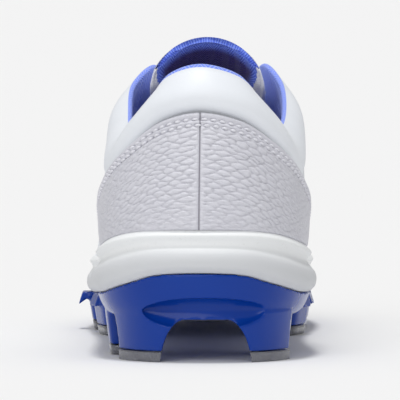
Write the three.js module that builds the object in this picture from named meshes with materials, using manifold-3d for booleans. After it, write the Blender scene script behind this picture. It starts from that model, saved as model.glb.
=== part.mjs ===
// A left-foot softball cleat with a moulded plate, standing on its studs.
// Millimetres. The toe points along +Y, the lateral side is -X and the floor is z = 0.
// Shapes are worked out in the last's frame, whose y = 0 is the back of the heel at the feather line
// and whose x = 0 is the centre of the heel. The finished group is moved so that the origin is the
// middle of the floor under the shoe.

import * as THREE from "three";
import { mergeVertices } from "three/addons/utils/BufferGeometryUtils.js";
import Module from "manifold-3d";

const wasm = await Module();
wasm.setup();

// Driving dimensions
const LENGTH = 280; // feather line, heel to toe
const BALL_WIDTH = 77; // feather line across the ball
const COLLAR_HEIGHT = 98.5; // floor to the top of the heel collar
const STUD_HEIGHT = 14.6; // floor to the plate's underside at the heel
const SOLE_STACK = 45; // floor to the midsole's rim at the back of the heel
const WALL = 2.0; // leather and backing together
const GAP = 0.3; // between pieces that touch

// Collar
const COLLAR_PAD = 5.0; // extra foam behind the topline
const COLLAR_BAND = 15.0; // height of the padded band, and of the eyestay, below the top edge
const COLLAR_SPREAD = 0.3; // how much higher the band is at the sides of the heel, as a share
const COLLAR_ROLL = 3.6; // how far the band swells outwards at the back
const ROLL_LOSS = 0.4; // share of that lost at the sides

// Overlays sewn on the upper
const OVERLAY = 1.2;
const EYELETS = 6; // pairs
const EYELET_RADIUS = 2.1;
const EYELET_INSET = 7.0; // from the edge of the throat
const LACE_WIDTH = 6.5;
const LACE_THICK = 1.5;

// Sole
const FOAM_FLARE = 5.2; // most that the midsole stands outside the feather line, at the heel
const FOREFOOT_FLARE = 3.4; // and at the forefoot
const INSOLE_THICK = 4.0;
const TIP_HEIGHT = 3.4; // clear wearing end of each stud
const HEEL_POST_DEPTH = 23; // rear heel posts, from the back of the heel to their front
const HEEL_POST_WALL = 10; // and through their curved wall
const HEEL_POST_TAPER = 4.6; // how far their outside draws in from plate to floor
const MEDIAL_TAPER_LOSS = 2; // less taper on the medial side
const ARCH_WIDTH = 31; // opening between the rear posts, at the floor
const ARCH_OFFSET = 2.2; // the opening sits to the medial side
const SCOOP_DEPTH = 5.5; // of the hollow above the opening
const SCOOP_STRETCH = 1.45; // how much longer its lower half is
const HEEL_ROUND = 29; // radius of the heel's back

// Tongue
const TONGUE_THICK = 5.5;
const TONGUE_HALF_WIDTH = 20.5;
const TONGUE_CROWN = 21; // drop from its ridge to its edges
const TONGUE_SWEEP = 1.36; // radians of the arch on each side of the ridge

// Grid of the lofted pieces: ROWS sections round the shoe, each cut in STEPS
const ROWS = 24;
const STEPS = 3;
const AROUND = ROWS * STEPS;
const BELOW_SEAM = 5; // cells of each section below the collar's seam
const ABOVE_SEAM = 4; // and above it
const COARSE = 0.04; // most that merging small triangles may move a surface

// One row for each section round the shoe: heel, lateral side, toe, medial side.
// y and topY are shares of LENGTH, x and topX of BALL_WIDTH and topZ of COLLAR_HEIGHT. footX, footY and footZ
// lead the section up from the feather line and headX, headY and headZ lead it down from the top edge,
// as shares of BALL_WIDTH, LENGTH and COLLAR_HEIGHT.
const SECTION_COLUMNS = [
  "x", "y", "topX", "topY", "topZ", "footX", "footY", "footZ", "headX", "headY", "headZ",
];
const SECTIONS = [
  [0.0, 0.002, 0.006, 0.02, 1.0, 0.0, -0.018, 0.19, 0.0, -0.008, -0.2],
  [-0.221, 0.018, -0.147, 0.036, 0.963, -0.014, -0.014, 0.19, -0.014, -0.008, -0.19],
  [-0.37, 0.073, -0.236, 0.082, 0.876, -0.029, -0.004, 0.18, -0.13, 0.0, -0.17],
  [-0.422, 0.162, -0.318, 0.16, 0.785, -0.034, 0.0, 0.17, -0.125, 0.0, -0.12],
  [-0.429, 0.262, -0.338, 0.24, 0.835, -0.034, 0.0, 0.18, -0.12, 0.0, -0.13],
  [-0.435, 0.364, -0.33, 0.312, 0.925, -0.034, -0.006, 0.2, -0.14, 0.006, -0.18],
  [-0.457, 0.47, -0.243, 0.37, 0.99, -0.029, -0.01, 0.22, -0.137, 0.018, -0.22],
  [-0.498, 0.578, -0.203, 0.446, 0.925, -0.021, -0.012, 0.22, -0.149, 0.028, -0.17],
  [-0.533, 0.686, -0.183, 0.528, 0.82, -0.017, -0.01, 0.21, -0.154, 0.04, -0.12],
  [-0.511, 0.792, -0.162, 0.606, 0.728, -0.016, -0.002, 0.21, -0.16, 0.06, -0.085],
  [-0.414, 0.888, -0.135, 0.662, 0.666, -0.017, 0.004, 0.22, -0.137, 0.09, -0.06],
  [-0.229, 0.964, -0.069, 0.696, 0.636, -0.007, 0.01, 0.235, -0.069, 0.125, -0.06],
  [0.027, 0.993, 0.014, 0.706, 0.628, 0.0, 0.012, 0.245, 0.0, 0.14, -0.06],
  [0.27, 0.957, 0.097, 0.696, 0.636, 0.009, 0.008, 0.235, 0.08, 0.12, -0.06],
  [0.409, 0.878, 0.169, 0.662, 0.669, 0.018, 0.002, 0.22, 0.149, 0.085, -0.06],
  [0.457, 0.786, 0.194, 0.606, 0.733, 0.016, -0.004, 0.215, 0.16, 0.056, -0.085],
  [0.457, 0.686, 0.214, 0.528, 0.825, 0.014, -0.01, 0.22, 0.149, 0.038, -0.12],
  [0.425, 0.578, 0.234, 0.446, 0.93, 0.016, -0.012, 0.23, 0.137, 0.026, -0.17],
  [0.394, 0.47, 0.286, 0.37, 0.994, 0.023, -0.01, 0.23, 0.126, 0.016, -0.22],
  [0.4, 0.364, 0.362, 0.312, 0.93, 0.034, -0.006, 0.21, 0.13, 0.006, -0.18],
  [0.43, 0.262, 0.378, 0.24, 0.838, 0.037, 0.0, 0.18, 0.105, 0.0, -0.13],
  [0.44, 0.162, 0.352, 0.16, 0.79, 0.037, 0.0, 0.17, 0.105, 0.0, -0.12],
  [0.377, 0.073, 0.279, 0.082, 0.882, 0.03, -0.004, 0.18, 0.12, 0.0, -0.17],
  [0.224, 0.018, 0.182, 0.036, 0.963, 0.014, -0.014, 0.19, 0.014, -0.008, -0.19],
];

// Heights of the sole along the shoe: y as a share of LENGTH, the others as shares of SOLE_STACK.
// floor is the plate's underside, parting the plate's top, bed the footbed and rim the midsole's edge.
const SOLE_COLUMNS = ["y", "floor", "parting", "bed", "rim"];
const SOLE = [
  [-0.02, 0.3244, 0.69, 0.77, 1.0],
  [0.002, 0.3244, 0.655, 0.765, 0.992],
  [0.03, 0.3244, 0.585, 0.755, 0.966],
  [0.09, 0.3244, 0.505, 0.74, 0.892],
  [0.17, 0.325, 0.478, 0.715, 0.828],
  [0.27, 0.36, 0.462, 0.66, 0.765],
  [0.4, 0.33, 0.42, 0.575, 0.7],
  [0.54, 0.262, 0.345, 0.475, 0.635],
  [0.68, 0.236, 0.31, 0.435, 0.595],
  [0.8, 0.236, 0.312, 0.44, 0.595],
  [0.9, 0.275, 0.355, 0.48, 0.63],
  [1.02, 0.355, 0.44, 0.565, 0.715],
];

// Side of the midsole: rise is a share of its height, out a share of FOAM_FLARE.
const FOAM_SIDE = [
  { rise: 0.0, out: 0.55 },
  { rise: 0.1, out: 0.88 },
  { rise: 0.26, out: 1.0 },
  { rise: 0.42, out: 0.92 },
  { rise: 0.55, out: 0.62 },
  { rise: 0.66, out: 0.4 },
  { rise: 0.76, out: 0.46 },
  { rise: 0.84, out: 0.66 },
  { rise: 0.89, out: 0.66 },
  { rise: 1.0, out: 0.32 },
];

// Ridge of the tongue from under the vamp to its top: y and z are shares of LENGTH and COLLAR_HEIGHT,
// width of TONGUE_SWEEP and crown of TONGUE_CROWN.
const TONGUE_COLUMNS = ["y", "z", "width", "crown"];
const TONGUE = [
  [0.742, 0.586, 0.72, 0.25],
  [0.7, 0.603, 0.76, 0.3],
  [0.615, 0.698, 0.82, 0.5],
  [0.53, 0.812, 0.88, 0.75],
  [0.445, 0.922, 0.94, 0.95],
  [0.38, 1.015, 1.0, 1.0],
  [0.345, 1.07, 0.98, 1.0],
  [0.325, 1.096, 0.78, 1.0],
];

// Forefoot and front heel studs: shares of LENGTH and BALL_WIDTH, turn in degrees, sizes in millimetres.
// fin is how far the blade's root stands out past the plate.
const STUDS = [
  { name: "heel_lateral", x: -0.348, y: 0.185, turn: 4, wide: 9, long: 16, fin: 0 },
  { name: "heel_medial", x: 0.32, y: 0.185, turn: -4, wide: 9, long: 16, fin: 0 },
  { name: "ball_lateral_1", x: -0.435, y: 0.565, turn: 14, wide: 9, long: 17, fin: 2 },
  { name: "ball_lateral_2", x: -0.485, y: 0.69, turn: 2, wide: 9, long: 17, fin: 4 },
  { name: "ball_lateral_3", x: -0.4, y: 0.822, turn: -20, wide: 9, long: 17, fin: 2 },
  { name: "ball_medial_1", x: 0.375, y: 0.57, turn: -16, wide: 9, long: 17, fin: 1.5 },
  { name: "ball_medial_2", x: 0.395, y: 0.695, turn: -4, wide: 9, long: 17, fin: 1.5 },
  { name: "ball_medial_3", x: 0.36, y: 0.82, turn: 16, wide: 9, long: 17, fin: 1.5 },
  { name: "toe", x: -0.025, y: 0.875, turn: 90, wide: 9, long: 17, fin: 0 },
];
const STUD_DRAFT = 1.8; // how much wider a stud's root is than its end, on each side

// Colours of the materials
const COLOURS = {
  leather: { color: 0xf2f4f7, roughness: 0.55 },
  counter: { color: 0xd4d3da, roughness: 0.5 },
  foam: { color: 0xf0f1f1, roughness: 0.7 },
  plate: { color: 0x2446a8, roughness: 0.2 },
  tip: { color: 0x9a9aa2, roughness: 0.3 },
  mesh: { color: 0x3f5fd0, roughness: 0.9 },
  lace: { color: 0xf6f6f8, roughness: 0.85 },
};

// Catmull-Rom curve through rows p0 to p3, at share t from p1 to p2.
function catmull(p0, p1, p2, p3, t) {
  const t2 = t * t;
  const t3 = t2 * t;
  return 0.5 * (2 * p1 + (p2 - p0) * t + (2 * p0 - 5 * p1 + 4 * p2 - p3) * t2 + (3 * p1 - p0 - 3 * p2 + p3) * t3);
}

// Value of a column of the section loop, at share u round the shoe.
function section(name, u) {
  const column = SECTION_COLUMNS.indexOf(name);
  const at = (((u % 1) + 1) % 1) * ROWS;
  const row = Math.floor(at);
  const cell = (k) => SECTIONS[(row + k + ROWS) % ROWS][column];
  return catmull(cell(-1), cell(0), cell(1), cell(2), at - row);
}

// Value of a column of an open table, at a value of its first column, by cubic Hermite pieces.
function along(rows, columns, name, key) {
  const column = columns.indexOf(name);
  const rising = rows[rows.length - 1][0] > rows[0][0] ? 1 : -1;
  const last = rows.length - 2;
  let k = 0;
  while (k < last && (key - rows[k + 1][0]) * rising > 0) k++;
  const slope = (a, b) => (rows[b][column] - rows[a][column]) / (rows[b][0] - rows[a][0]);
  const step = rows[k + 1][0] - rows[k][0];
  const t = THREE.MathUtils.clamp((key - rows[k][0]) / step, 0, 1);
  const before = k > 0 ? slope(k - 1, k + 1) : slope(k, k + 1);
  const after = k < last ? slope(k, k + 2) : slope(k, k + 1);
  const t2 = t * t;
  const t3 = t2 * t;
  return (2 * t3 - 3 * t2 + 1) * rows[k][column] + (t3 - 2 * t2 + t) * step * before
    + (3 * t2 - 2 * t3) * rows[k + 1][column] + (t3 - t2) * step * after;
}

const soleHeight = (name, y) => SOLE_STACK * along(SOLE, SOLE_COLUMNS, name, y / LENGTH);

// Feather line at share u, lifted by height above the footbed.
function feather(u) {
  const y = section("y", u) * LENGTH;
  return new THREE.Vector3(section("x", u) * BALL_WIDTH, y, soleHeight("bed", y) + GAP);
}

// Smooth step from 0 to 1 between two values.
const ease = (from, to, value) => THREE.MathUtils.smoothstep(value, from, to);

// Sections between a place and the back of the heel.
const rowsFromHeel = (u) => Math.min(Math.abs(u), Math.abs(1 - u)) * ROWS;

// How much of the collar's padding a section has: all round the heel, none along the eyestay.
const collarShare = (u) => 1 - ease(4.6, 6.2, rowsFromHeel(u));

// Height of the padded band at a section: it widens at the sides of the heel.
function bandHeight(u) {
  const from = rowsFromHeel(u);
  return COLLAR_BAND * (1 + COLLAR_SPREAD * (ease(0.8, 2.6, from) - ease(3.6, 5.8, from)));
}

// Section curve of the upper without its collar roll, at share v from feather line to top edge.
function bareSection(u, v) {
  const foot = feather(u);
  const top = new THREE.Vector3(
    section("topX", u) * BALL_WIDTH, section("topY", u) * LENGTH, section("topZ", u) * COLLAR_HEIGHT);
  const lead = new THREE.Vector3(
    section("footX", u) * BALL_WIDTH, section("footY", u) * LENGTH, section("footZ", u) * COLLAR_HEIGHT);
  const tail = new THREE.Vector3(
    section("headX", u) * BALL_WIDTH, section("headY", u) * LENGTH, section("headZ", u) * COLLAR_HEIGHT);
  return new THREE.CubicBezierCurve3(foot, foot.clone().add(lead), top.clone().add(tail), top).getPoint(v);
}

// Length of a section, and so the share v that lies a given distance below the top edge.
const CHORDS = 10;
const sectionLengths = new Map();
function belowTop(u, distance) {
  if (!sectionLengths.has(u)) {
    let length = 0;
    for (let k = 0; k < CHORDS; k++) {
      length += bareSection(u, k / CHORDS).distanceTo(bareSection(u, (k + 1) / CHORDS));
    }
    sectionLengths.set(u, length);
  }
  return 1 - distance / sectionLengths.get(u);
}

// Outward normal of the bare surface, by small differences.
const TINY = 1e-3;
function bareNormal(u, v) {
  const low = Math.max(v - TINY, 0);
  const high = Math.min(v + TINY, 1);
  const aroundShoe = bareSection(u + TINY, v).sub(bareSection(u - TINY, v));
  const upwards = bareSection(u, high).sub(bareSection(u, low));
  return upwards.cross(aroundShoe).normalize();
}

// Swell of the padded collar: none at the seam, most in the middle of the band, little at the top edge.
function collarSwell(u, v) {
  const share = collarShare(u);
  const seam = belowTop(u, bandHeight(u));
  const t = THREE.MathUtils.clamp((v - seam) / (1 - seam), 0, 1);
  const roll = COLLAR_ROLL * (1 - ROLL_LOSS * ease(0.8, 3, rowsFromHeel(u)));
  return share * roll * Math.sin(Math.PI * Math.pow(t, 0.8));
}

// Point of the upper's outside, pushed out by a distance along the normal.
function upperPoint(u, v, out = 0) {
  return bareSection(u, v).addScaledVector(bareNormal(u, v), collarSwell(u, v) + out);
}

// Thickness of the upper's wall: leather, and foam under the collar that thins to the top edge.
function wallThickness(u, v) {
  const seam = belowTop(u, 1.7 * COLLAR_BAND);
  const t = THREE.MathUtils.clamp((v - seam) / (1 - seam), 0, 1);
  return WALL + collarShare(u) * COLLAR_PAD * Math.pow(Math.sin(Math.PI * Math.pow(t, 1.3)), 0.8);
}

// Share v at which the upper's outside is at height z.
function shareAtHeight(u, z) {
  let low = 0;
  let high = 0.7;
  for (let k = 0; k < 24; k++) {
    const mid = (low + high) / 2;
    if (upperPoint(u, mid).z < z) low = mid;
    else high = mid;
  }
  return (low + high) / 2;
}

// Horizontal outward direction of the feather line.
function featherOut(u) {
  const tangent = feather(u + TINY).sub(feather(u - TINY));
  return new THREE.Vector3(-tangent.y, tangent.x, 0).normalize();
}

const shares = (count) => Array.from({ length: count }, (_, k) => k / count);
const AROUND_SHARES = shares(AROUND);
const ring = (pointAt) => AROUND_SHARES.map(pointAt);

// Geometry from a list of points and triangles, turned so that it faces outwards.
function closedGeometry(points, triangles) {
  let volume = 0;
  for (const [a, b, c] of triangles) volume += points[a].dot(points[b].clone().cross(points[c]));
  const faces = volume < 0 ? triangles.map(([a, b, c]) => [a, c, b]) : triangles;
  const geometry = new THREE.BufferGeometry();
  geometry.setAttribute("position", new THREE.Float32BufferAttribute(points.flatMap((p) => p.toArray()), 3));
  geometry.setIndex(faces.flat());
  return geometry;
}

// Two triangles for each cell between consecutive rings.
function joinRings(rings, closedRound, closedAlong) {
  const count = rings[0].length;
  const triangles = [];
  const lastRing = closedAlong ? rings.length : rings.length - 1;
  const lastPoint = closedRound ? count : count - 1;
  for (let r = 0; r < lastRing; r++) {
    for (let k = 0; k < lastPoint; k++) {
      const a = r * count + k;
      const b = r * count + ((k + 1) % count);
      const c = ((r + 1) % rings.length) * count + ((k + 1) % count);
      const d = ((r + 1) % rings.length) * count + k;
      triangles.push([a, b, c], [a, c, d]);
    }
  }
  return triangles;
}

// Closes a ring that goes round the shoe by strips from its lateral to its medial side.
function acrossCap(start, count, flip) {
  const triangles = [];
  const put = (a, b, c) => triangles.push(flip ? [start + a, start + c, start + b] : [start + a, start + b, start + c]);
  for (let k = 0; k < count / 2; k++) {
    const a = k;
    const b = k + 1;
    const c = count - k - 1;
    const d = (count - k) % count;
    if (b !== c) put(a, b, c);
    if (a !== d) put(a, c, d);
  }
  return triangles;
}

// Solid from rings round the shoe, closed at its lowest and highest ring.
function ringSolid(rings) {
  const count = rings[0].length;
  const triangles = [
    ...joinRings(rings, true, false),
    ...acrossCap(0, count, true),
    ...acrossCap((rings.length - 1) * count, count, false),
  ];
  return closedGeometry(rings.flat(), triangles);
}

// Sheet with thickness over part of the grid: outer and inner rows of points, closed along all four edges.
function sheetSolid(outer, inner) {
  const loops = outer.map((row, k) => [...row, ...inner[k].slice().reverse()]);
  const count = loops[0].length;
  const half = count / 2;
  const triangles = joinRings(loops, true, false);
  const cap = (start, flip) => {
    for (let k = 0; k < half - 1; k++) {
      const quad = [start + k, start + k + 1, start + count - 2 - k, start + count - 1 - k];
      const [a, b, c, d] = flip ? quad.reverse() : quad;
      triangles.push([a, b, c], [a, c, d]);
    }
  };
  cap(0, true);
  cap((loops.length - 1) * count, false);
  return closedGeometry(loops.flat(), triangles);
}

// Solid for cutting and joining, and back to a geometry.
function solid(geometry) {
  const bare = geometry.clone();
  bare.deleteAttribute("normal");
  bare.deleteAttribute("uv");
  const merged = mergeVertices(bare, 1e-4);
  return new wasm.Manifold(new wasm.Mesh({
    numProp: 3,
    vertProperties: merged.attributes.position.array,
    triVerts: new Uint32Array(merged.index.array),
  }));
}
function geometryOf(manifold) {
  const mesh = manifold.getMesh();
  const geometry = new THREE.BufferGeometry();
  geometry.setAttribute("position", new THREE.Float32BufferAttribute(mesh.vertProperties, 3));
  geometry.setIndex(Array.from(mesh.triVerts));
  return geometry;
}

// Box between two corners.
function block(low, high) {
  const size = high.clone().sub(low);
  const middle = high.clone().add(low).multiplyScalar(0.5);
  return solid(new THREE.BoxGeometry(size.x, size.y, size.z).translate(middle.x, middle.y, middle.z));
}

// Eyelets, from the front of the throat to the top of the eyestay, on both sides.
const EYELET_ROWS = { first: 10.3, last: 6.55 };
function eyeletShare(pair, side) {
  const row = THREE.MathUtils.lerp(EYELET_ROWS.first, EYELET_ROWS.last, pair / (EYELETS - 1));
  return side === "lateral" ? row / ROWS : 1 - row / ROWS;
}
function eyeletPlace(pair, side, out) {
  const u = eyeletShare(pair, side);
  return upperPoint(u, belowTop(u, EYELET_INSET), out);
}
function eyeletDrill(pair, side) {
  const u = eyeletShare(pair, side);
  const v = belowTop(u, EYELET_INSET);
  const reach = 2 * (WALL + OVERLAY);
  const drill = new THREE.CylinderGeometry(EYELET_RADIUS, EYELET_RADIUS, 2 * reach, 8);
  const turn = new THREE.Quaternion().setFromUnitVectors(new THREE.Vector3(0, 1, 0), bareNormal(u, v));
  return solid(drill.applyQuaternion(turn).translate(...upperPoint(u, v).toArray()));
}
function drilled(geometry) {
  let body = solid(geometry);
  for (let pair = 0; pair < EYELETS; pair++) {
    body = body.subtract(eyeletDrill(pair, "lateral")).subtract(eyeletDrill(pair, "medial"));
  }
  return geometryOf(body.simplify(COARSE));
}

// Share v of the k-th level of the grid, which has one level along the seam below the band.
function gridShare(u, k) {
  const seam = belowTop(u, bandHeight(u));
  return k <= BELOW_SEAM ? (seam * k) / BELOW_SEAM : seam + ((1 - seam) * (k - BELOW_SEAM)) / ABOVE_SEAM;
}

// Upper: one hollow wall, open at the collar, the throat and underneath.
function upper() {
  const levels = Array.from({ length: BELOW_SEAM + ABOVE_SEAM + 1 }, (_, k) => k);
  const outside = levels.map((k) => ring((u) => upperPoint(u, gridShare(u, k))));
  const inside = levels.map((k) => ring((u) => {
    const v = gridShare(u, k);
    return upperPoint(u, v, -wallThickness(u, v));
  }));
  const rings = [...outside, ...inside.reverse()];
  return drilled(closedGeometry(rings.flat(), joinRings(rings, true, true)));
}

// Overlay between two edges of the upper's own surface, from share u0 to u1.
function overlay(u0, u1, columns, rows, lowEdge, highEdge, thick) {
  const faceAt = (out) => Array.from({ length: columns + 1 }, (_, k) => {
    const u = u0 + ((u1 - u0) * k) / columns;
    const low = lowEdge(u);
    const high = highEdge(u);
    return Array.from({ length: rows + 1 }, (_, r) => upperPoint(u, low + ((high - low) * r) / rows, out));
  });
  return sheetSolid(faceAt(GAP + thick), faceAt(GAP));
}

// Heel counter: from the midsole's rim to the collar seam, falling away to a point on each side.
const COUNTER_ROW = 5;
function counterTop(u) {
  const fall = ease(2.4, COUNTER_ROW, rowsFromHeel(u));
  const low = counterFoot(u);
  return low + (belowTop(u, bandHeight(u)) - low) * (1 - 0.86 * fall);
}
function counterFoot(u) {
  const y = section("y", u) * LENGTH;
  return shareAtHeight(u, soleHeight("rim", y) + 2 * GAP);
}
function counter() {
  const columns = 2 * COUNTER_ROW * STEPS;
  return overlay(-COUNTER_ROW / ROWS, COUNTER_ROW / ROWS, columns, BELOW_SEAM, counterFoot, counterTop, OVERLAY);
}

// Eyestay: a band round the throat that carries the eyelets.
const EYESTAY_ROW = 6 + 1 / STEPS;
const EYESTAY_EDGE = 0.4; // left bare at the edge of the throat
const EYESTAY_CELLS = 2;
function eyestay() {
  const columns = (ROWS - 2 * EYESTAY_ROW) * STEPS;
  const band = overlay(EYESTAY_ROW / ROWS, 1 - EYESTAY_ROW / ROWS, columns, EYESTAY_CELLS,
    (u) => belowTop(u, bandHeight(u)), (u) => belowTop(u, EYESTAY_EDGE), OVERLAY);
  return drilled(band);
}

// Outline of the sole, standing out from the feather line by a share of the flare and a distance.
const flare = (u) => THREE.MathUtils.lerp(FOAM_FLARE, FOREFOOT_FLARE, ease(4, 7.5, rowsFromHeel(u)));
function soleOutline(u, share, distance, z) {
  const point = feather(u).addScaledVector(featherOut(u), share * flare(u) + distance);
  point.z = z(point.y);
  return point;
}

// Midsole: outer side with its groove, rim, pocket round the upper's edge, and footbed.
function midsole() {
  const rings = [];
  rings.push(ring((u) => soleOutline(u, FOAM_SIDE[0].out, -1.5, (y) => soleHeight("parting", y) + GAP)));
  for (const { rise, out } of FOAM_SIDE) {
    rings.push(ring((u) => {
      const point = soleOutline(u, out, 0, () => 0);
      const low = soleHeight("parting", point.y) + GAP;
      point.z = low + rise * (soleHeight("rim", point.y) - low);
      return point;
    }));
  }
  for (const share of [1, 0]) {
    rings.push(ring((u) => {
      const y = section("y", u) * LENGTH;
      const low = soleHeight("bed", y) + GAP;
      const height = low + share * (soleHeight("rim", y) - low);
      const v = share === 0 ? 0 : shareAtHeight(u, height);
      const point = upperPoint(u, v, GAP);
      point.z = share === 0 ? low - GAP : height;
      return point;
    }));
  }
  return ringSolid(rings);
}

// Insole: a flat pad inside the upper's foot.
function insole() {
  const edge = (share, out) => ring((u) => {
    const y = section("y", u) * LENGTH;
    const height = soleHeight("bed", y) + GAP + share * INSOLE_THICK;
    const point = upperPoint(u, shareAtHeight(u, height), -WALL - 4 * GAP - out);
    point.z = height;
    return point;
  });
  return ringSolid([edge(0, 0.8), edge(0.7, 0), edge(1, 1.2)]);
}

// Plate of the outsole, from its underside to the parting with the midsole.
function plateBody() {
  const level = (share, draw) => ring((u) => {
    const point = soleOutline(u, FOAM_SIDE[0].out, -draw, () => 0);
    const low = soleHeight("floor", point.y);
    point.z = low + share * (soleHeight("parting", point.y) - low);
    return point;
  });
  return solid(ringSolid([level(0, 4.6), level(0.12, 3), level(0.5, 1.2), level(1, 0)]));
}

// Tapering form of the heel below the plate, drawn in by an inset, which the rear posts are cut from.
const HEEL_FORM = [
  { share: -0.1, draw: 1 },
  { share: 0.5, draw: 0.93 },
  { share: 0.85, draw: 0.78 },
  { share: 1.2, draw: 0.55 },
];
function heelForm(inset) {
  return solid(ringSolid(HEEL_FORM.map(({ share, draw }) =>
    ring((u) => {
      const medial = THREE.MathUtils.smoothstep(section("x", u) * BALL_WIDTH, 2, 22);
      const taper = draw * (HEEL_POST_TAPER - medial * MEDIAL_TAPER_LOSS);
      return soleOutline(u, FOAM_SIDE[0].out, -inset - taper, () => share * STUD_HEIGHT);
    }))));
}

// Opening between the rear posts, as a solid that runs from back to front.
function archCut() {
  const half = ARCH_WIDTH / 2;
  const crown = 0.5 * half;
  const shape = new THREE.Shape();
  shape.moveTo(-half, -1);
  shape.quadraticCurveTo(-half + 1.5, 0.85 * STUD_HEIGHT, -crown, STUD_HEIGHT - GAP);
  shape.lineTo(crown, STUD_HEIGHT - GAP);
  shape.quadraticCurveTo(half - 1.5, 0.85 * STUD_HEIGHT, half, -1);
  shape.closePath();
  const cut = new THREE.ExtrudeGeometry(shape, { depth: 60, bevelEnabled: false, curveSegments: 6 });
  return solid(cut.rotateX(Math.PI / 2).translate(ARCH_OFFSET, 40, 0));
}

// Hollow in the back of the plate, above the opening: an ellipsoid bent round the heel.
function heelScoop() {
  const scoop = new THREE.SphereGeometry(1, 20, 12).scale(0.67 * ARCH_WIDTH, SCOOP_DEPTH, 0.3 * STUD_HEIGHT);
  const places = scoop.attributes.position;
  for (let k = 0; k < places.count; k += 1) {
    const bend = places.getX(k) ** 2 / (2 * HEEL_ROUND);
    places.setY(k, places.getY(k) + bend);
    places.setZ(k, places.getZ(k) * (places.getZ(k) < 0 ? SCOOP_STRETCH : 1));
  }
  return solid(scoop.translate(ARCH_OFFSET - 0.7, 0, 1.2 * STUD_HEIGHT));
}

// A stud: a blade drawn in towards its end, between two heights.
function studBlade(stud, low, high) {
  const root = stud.root;
  const corners = (z) => {
    const grow = (STUD_DRAFT * z) / root;
    const w = stud.wide / 2 + grow;
    const l = stud.long / 2 + grow;
    const cut = 2.2;
    return [
      [w - cut, -l], [w, -l + cut], [w, l - cut], [w - cut, l],
      [-w + cut, l], [-w, l - cut], [-w, -l + cut], [-w + cut, -l],
    ].map(([x, y]) => new THREE.Vector3(x, y, z));
  };
  const rings = [corners(low), corners(high)];
  const triangles = joinRings(rings, true, false);
  for (let k = 1; k < 7; k++) triangles.push([0, k + 1, k], [8, 8 + k, 8 + k + 1]);
  const turn = THREE.MathUtils.degToRad(stud.turn);
  return closedGeometry(rings.flat(), triangles).rotateZ(turn).translate(stud.x * BALL_WIDTH, stud.y * LENGTH, 0);
}

// Fin at the root of a perimeter stud: a wedge that stands out past the plate.
function studFin(stud) {
  const side = Math.sign(stud.x);
  const reach = stud.wide / 2 + STUD_DRAFT + stud.fin;
  const shape = new THREE.Shape();
  shape.moveTo(0, stud.root - 1);
  shape.lineTo(side * (reach - 3), stud.root + 0.6);
  shape.lineTo(side * reach, stud.root - 1.6);
  shape.lineTo(side * (reach - 1.6), stud.root + 3.2);
  shape.lineTo(0, stud.root + 3.2);
  shape.closePath();
  const length = 0.6 * stud.long;
  const fin = new THREE.ExtrudeGeometry(shape, { depth: length, bevelEnabled: false });
  const turn = THREE.MathUtils.degToRad(stud.turn);
  return fin.rotateX(Math.PI / 2).translate(0, length / 2, 0).rotateZ(turn)
    .translate(stud.x * BALL_WIDTH, stud.y * LENGTH, 0);
}

const studRoot = (stud) => soleHeight("floor", stud.y * LENGTH);
const studs = STUDS.map((stud) => ({ ...stud, root: studRoot(stud) }));

// Rear posts of the heel: a curved wall, cut off in front and opened by the arch.
const rearPosts = heelForm(0)
  .subtract(heelForm(HEEL_POST_WALL))
  .intersect(block(new THREE.Vector3(-60, -20, 0), new THREE.Vector3(60, HEEL_POST_DEPTH, 1.15 * STUD_HEIGHT)))
  .subtract(archCut());

// Outsole: plate, posts and studs moulded in one.
function outsole() {
  let body = plateBody();
  const above = block(new THREE.Vector3(-60, -20, TIP_HEIGHT + GAP), new THREE.Vector3(60, 320, 60));
  body = body.add(rearPosts.intersect(above)).subtract(heelScoop());
  for (const stud of studs) {
    body = body.add(solid(studBlade(stud, TIP_HEIGHT + GAP, stud.root + 1.5)));
    if (stud.fin > 0) body = body.add(solid(studFin(stud)));
  }
  return geometryOf(body.simplify(COARSE));
}

// Clear ends of the rear posts.
function postTip(side) {
  const low = new THREE.Vector3(side < 0 ? -60 : ARCH_OFFSET, -20, -5);
  const high = new THREE.Vector3(side < 0 ? ARCH_OFFSET : 60, 60, TIP_HEIGHT);
  return geometryOf(rearPosts.subtract(heelScoop()).intersect(block(low, high)));
}

// Tongue: an arched pad on a ridge that climbs from under the vamp past the collar.
const TONGUE_STEPS = 12;
const TONGUE_ACROSS = 10;
function tonguePoint(share, across, depth) {
  const start = TONGUE[0][0];
  const end = TONGUE[TONGUE.length - 1][0];
  const key = start + (end - start) * share;
  const ridgeAt = (k) => new THREE.Vector3(0, k * LENGTH, along(TONGUE, TONGUE_COLUMNS, "z", k) * COLLAR_HEIGHT);
  const climb = ridgeAt(key - TINY).sub(ridgeAt(key + TINY)).normalize();
  const lift = new THREE.Vector3(0, climb.z, -climb.y);
  const angle = across * TONGUE_SWEEP * along(TONGUE, TONGUE_COLUMNS, "width", key);
  const crown = TONGUE_CROWN * along(TONGUE, TONGUE_COLUMNS, "crown", key);
  const point = ridgeAt(key);
  point.x += 0.016 * BALL_WIDTH + (TONGUE_HALF_WIDTH - depth) * Math.sin(angle);
  point.addScaledVector(lift, -depth - (crown - depth) * (1 - Math.cos(angle)));
  return point;
}
function tongueThickness(share, across) {
  const edge = Math.sqrt(Math.max(0.12, 1 - Math.pow(Math.abs(across), 6)));
  const end = Math.sqrt(Math.max(0.15, 1 - Math.pow(share, 14)));
  return TONGUE_THICK * (0.42 + 0.58 * ease(0.1, 0.6, share)) * edge * end;
}
function tongue() {
  const face = (below) => Array.from({ length: TONGUE_STEPS + 1 }, (_, k) => {
    const share = k / TONGUE_STEPS;
    return Array.from({ length: TONGUE_ACROSS + 1 }, (_, r) => {
      const across = (2 * r) / TONGUE_ACROSS - 1;
      return tonguePoint(share, across, below ? tongueThickness(share, across) : 0);
    });
  });
  return sheetSolid(face(false), face(true));
}

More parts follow.
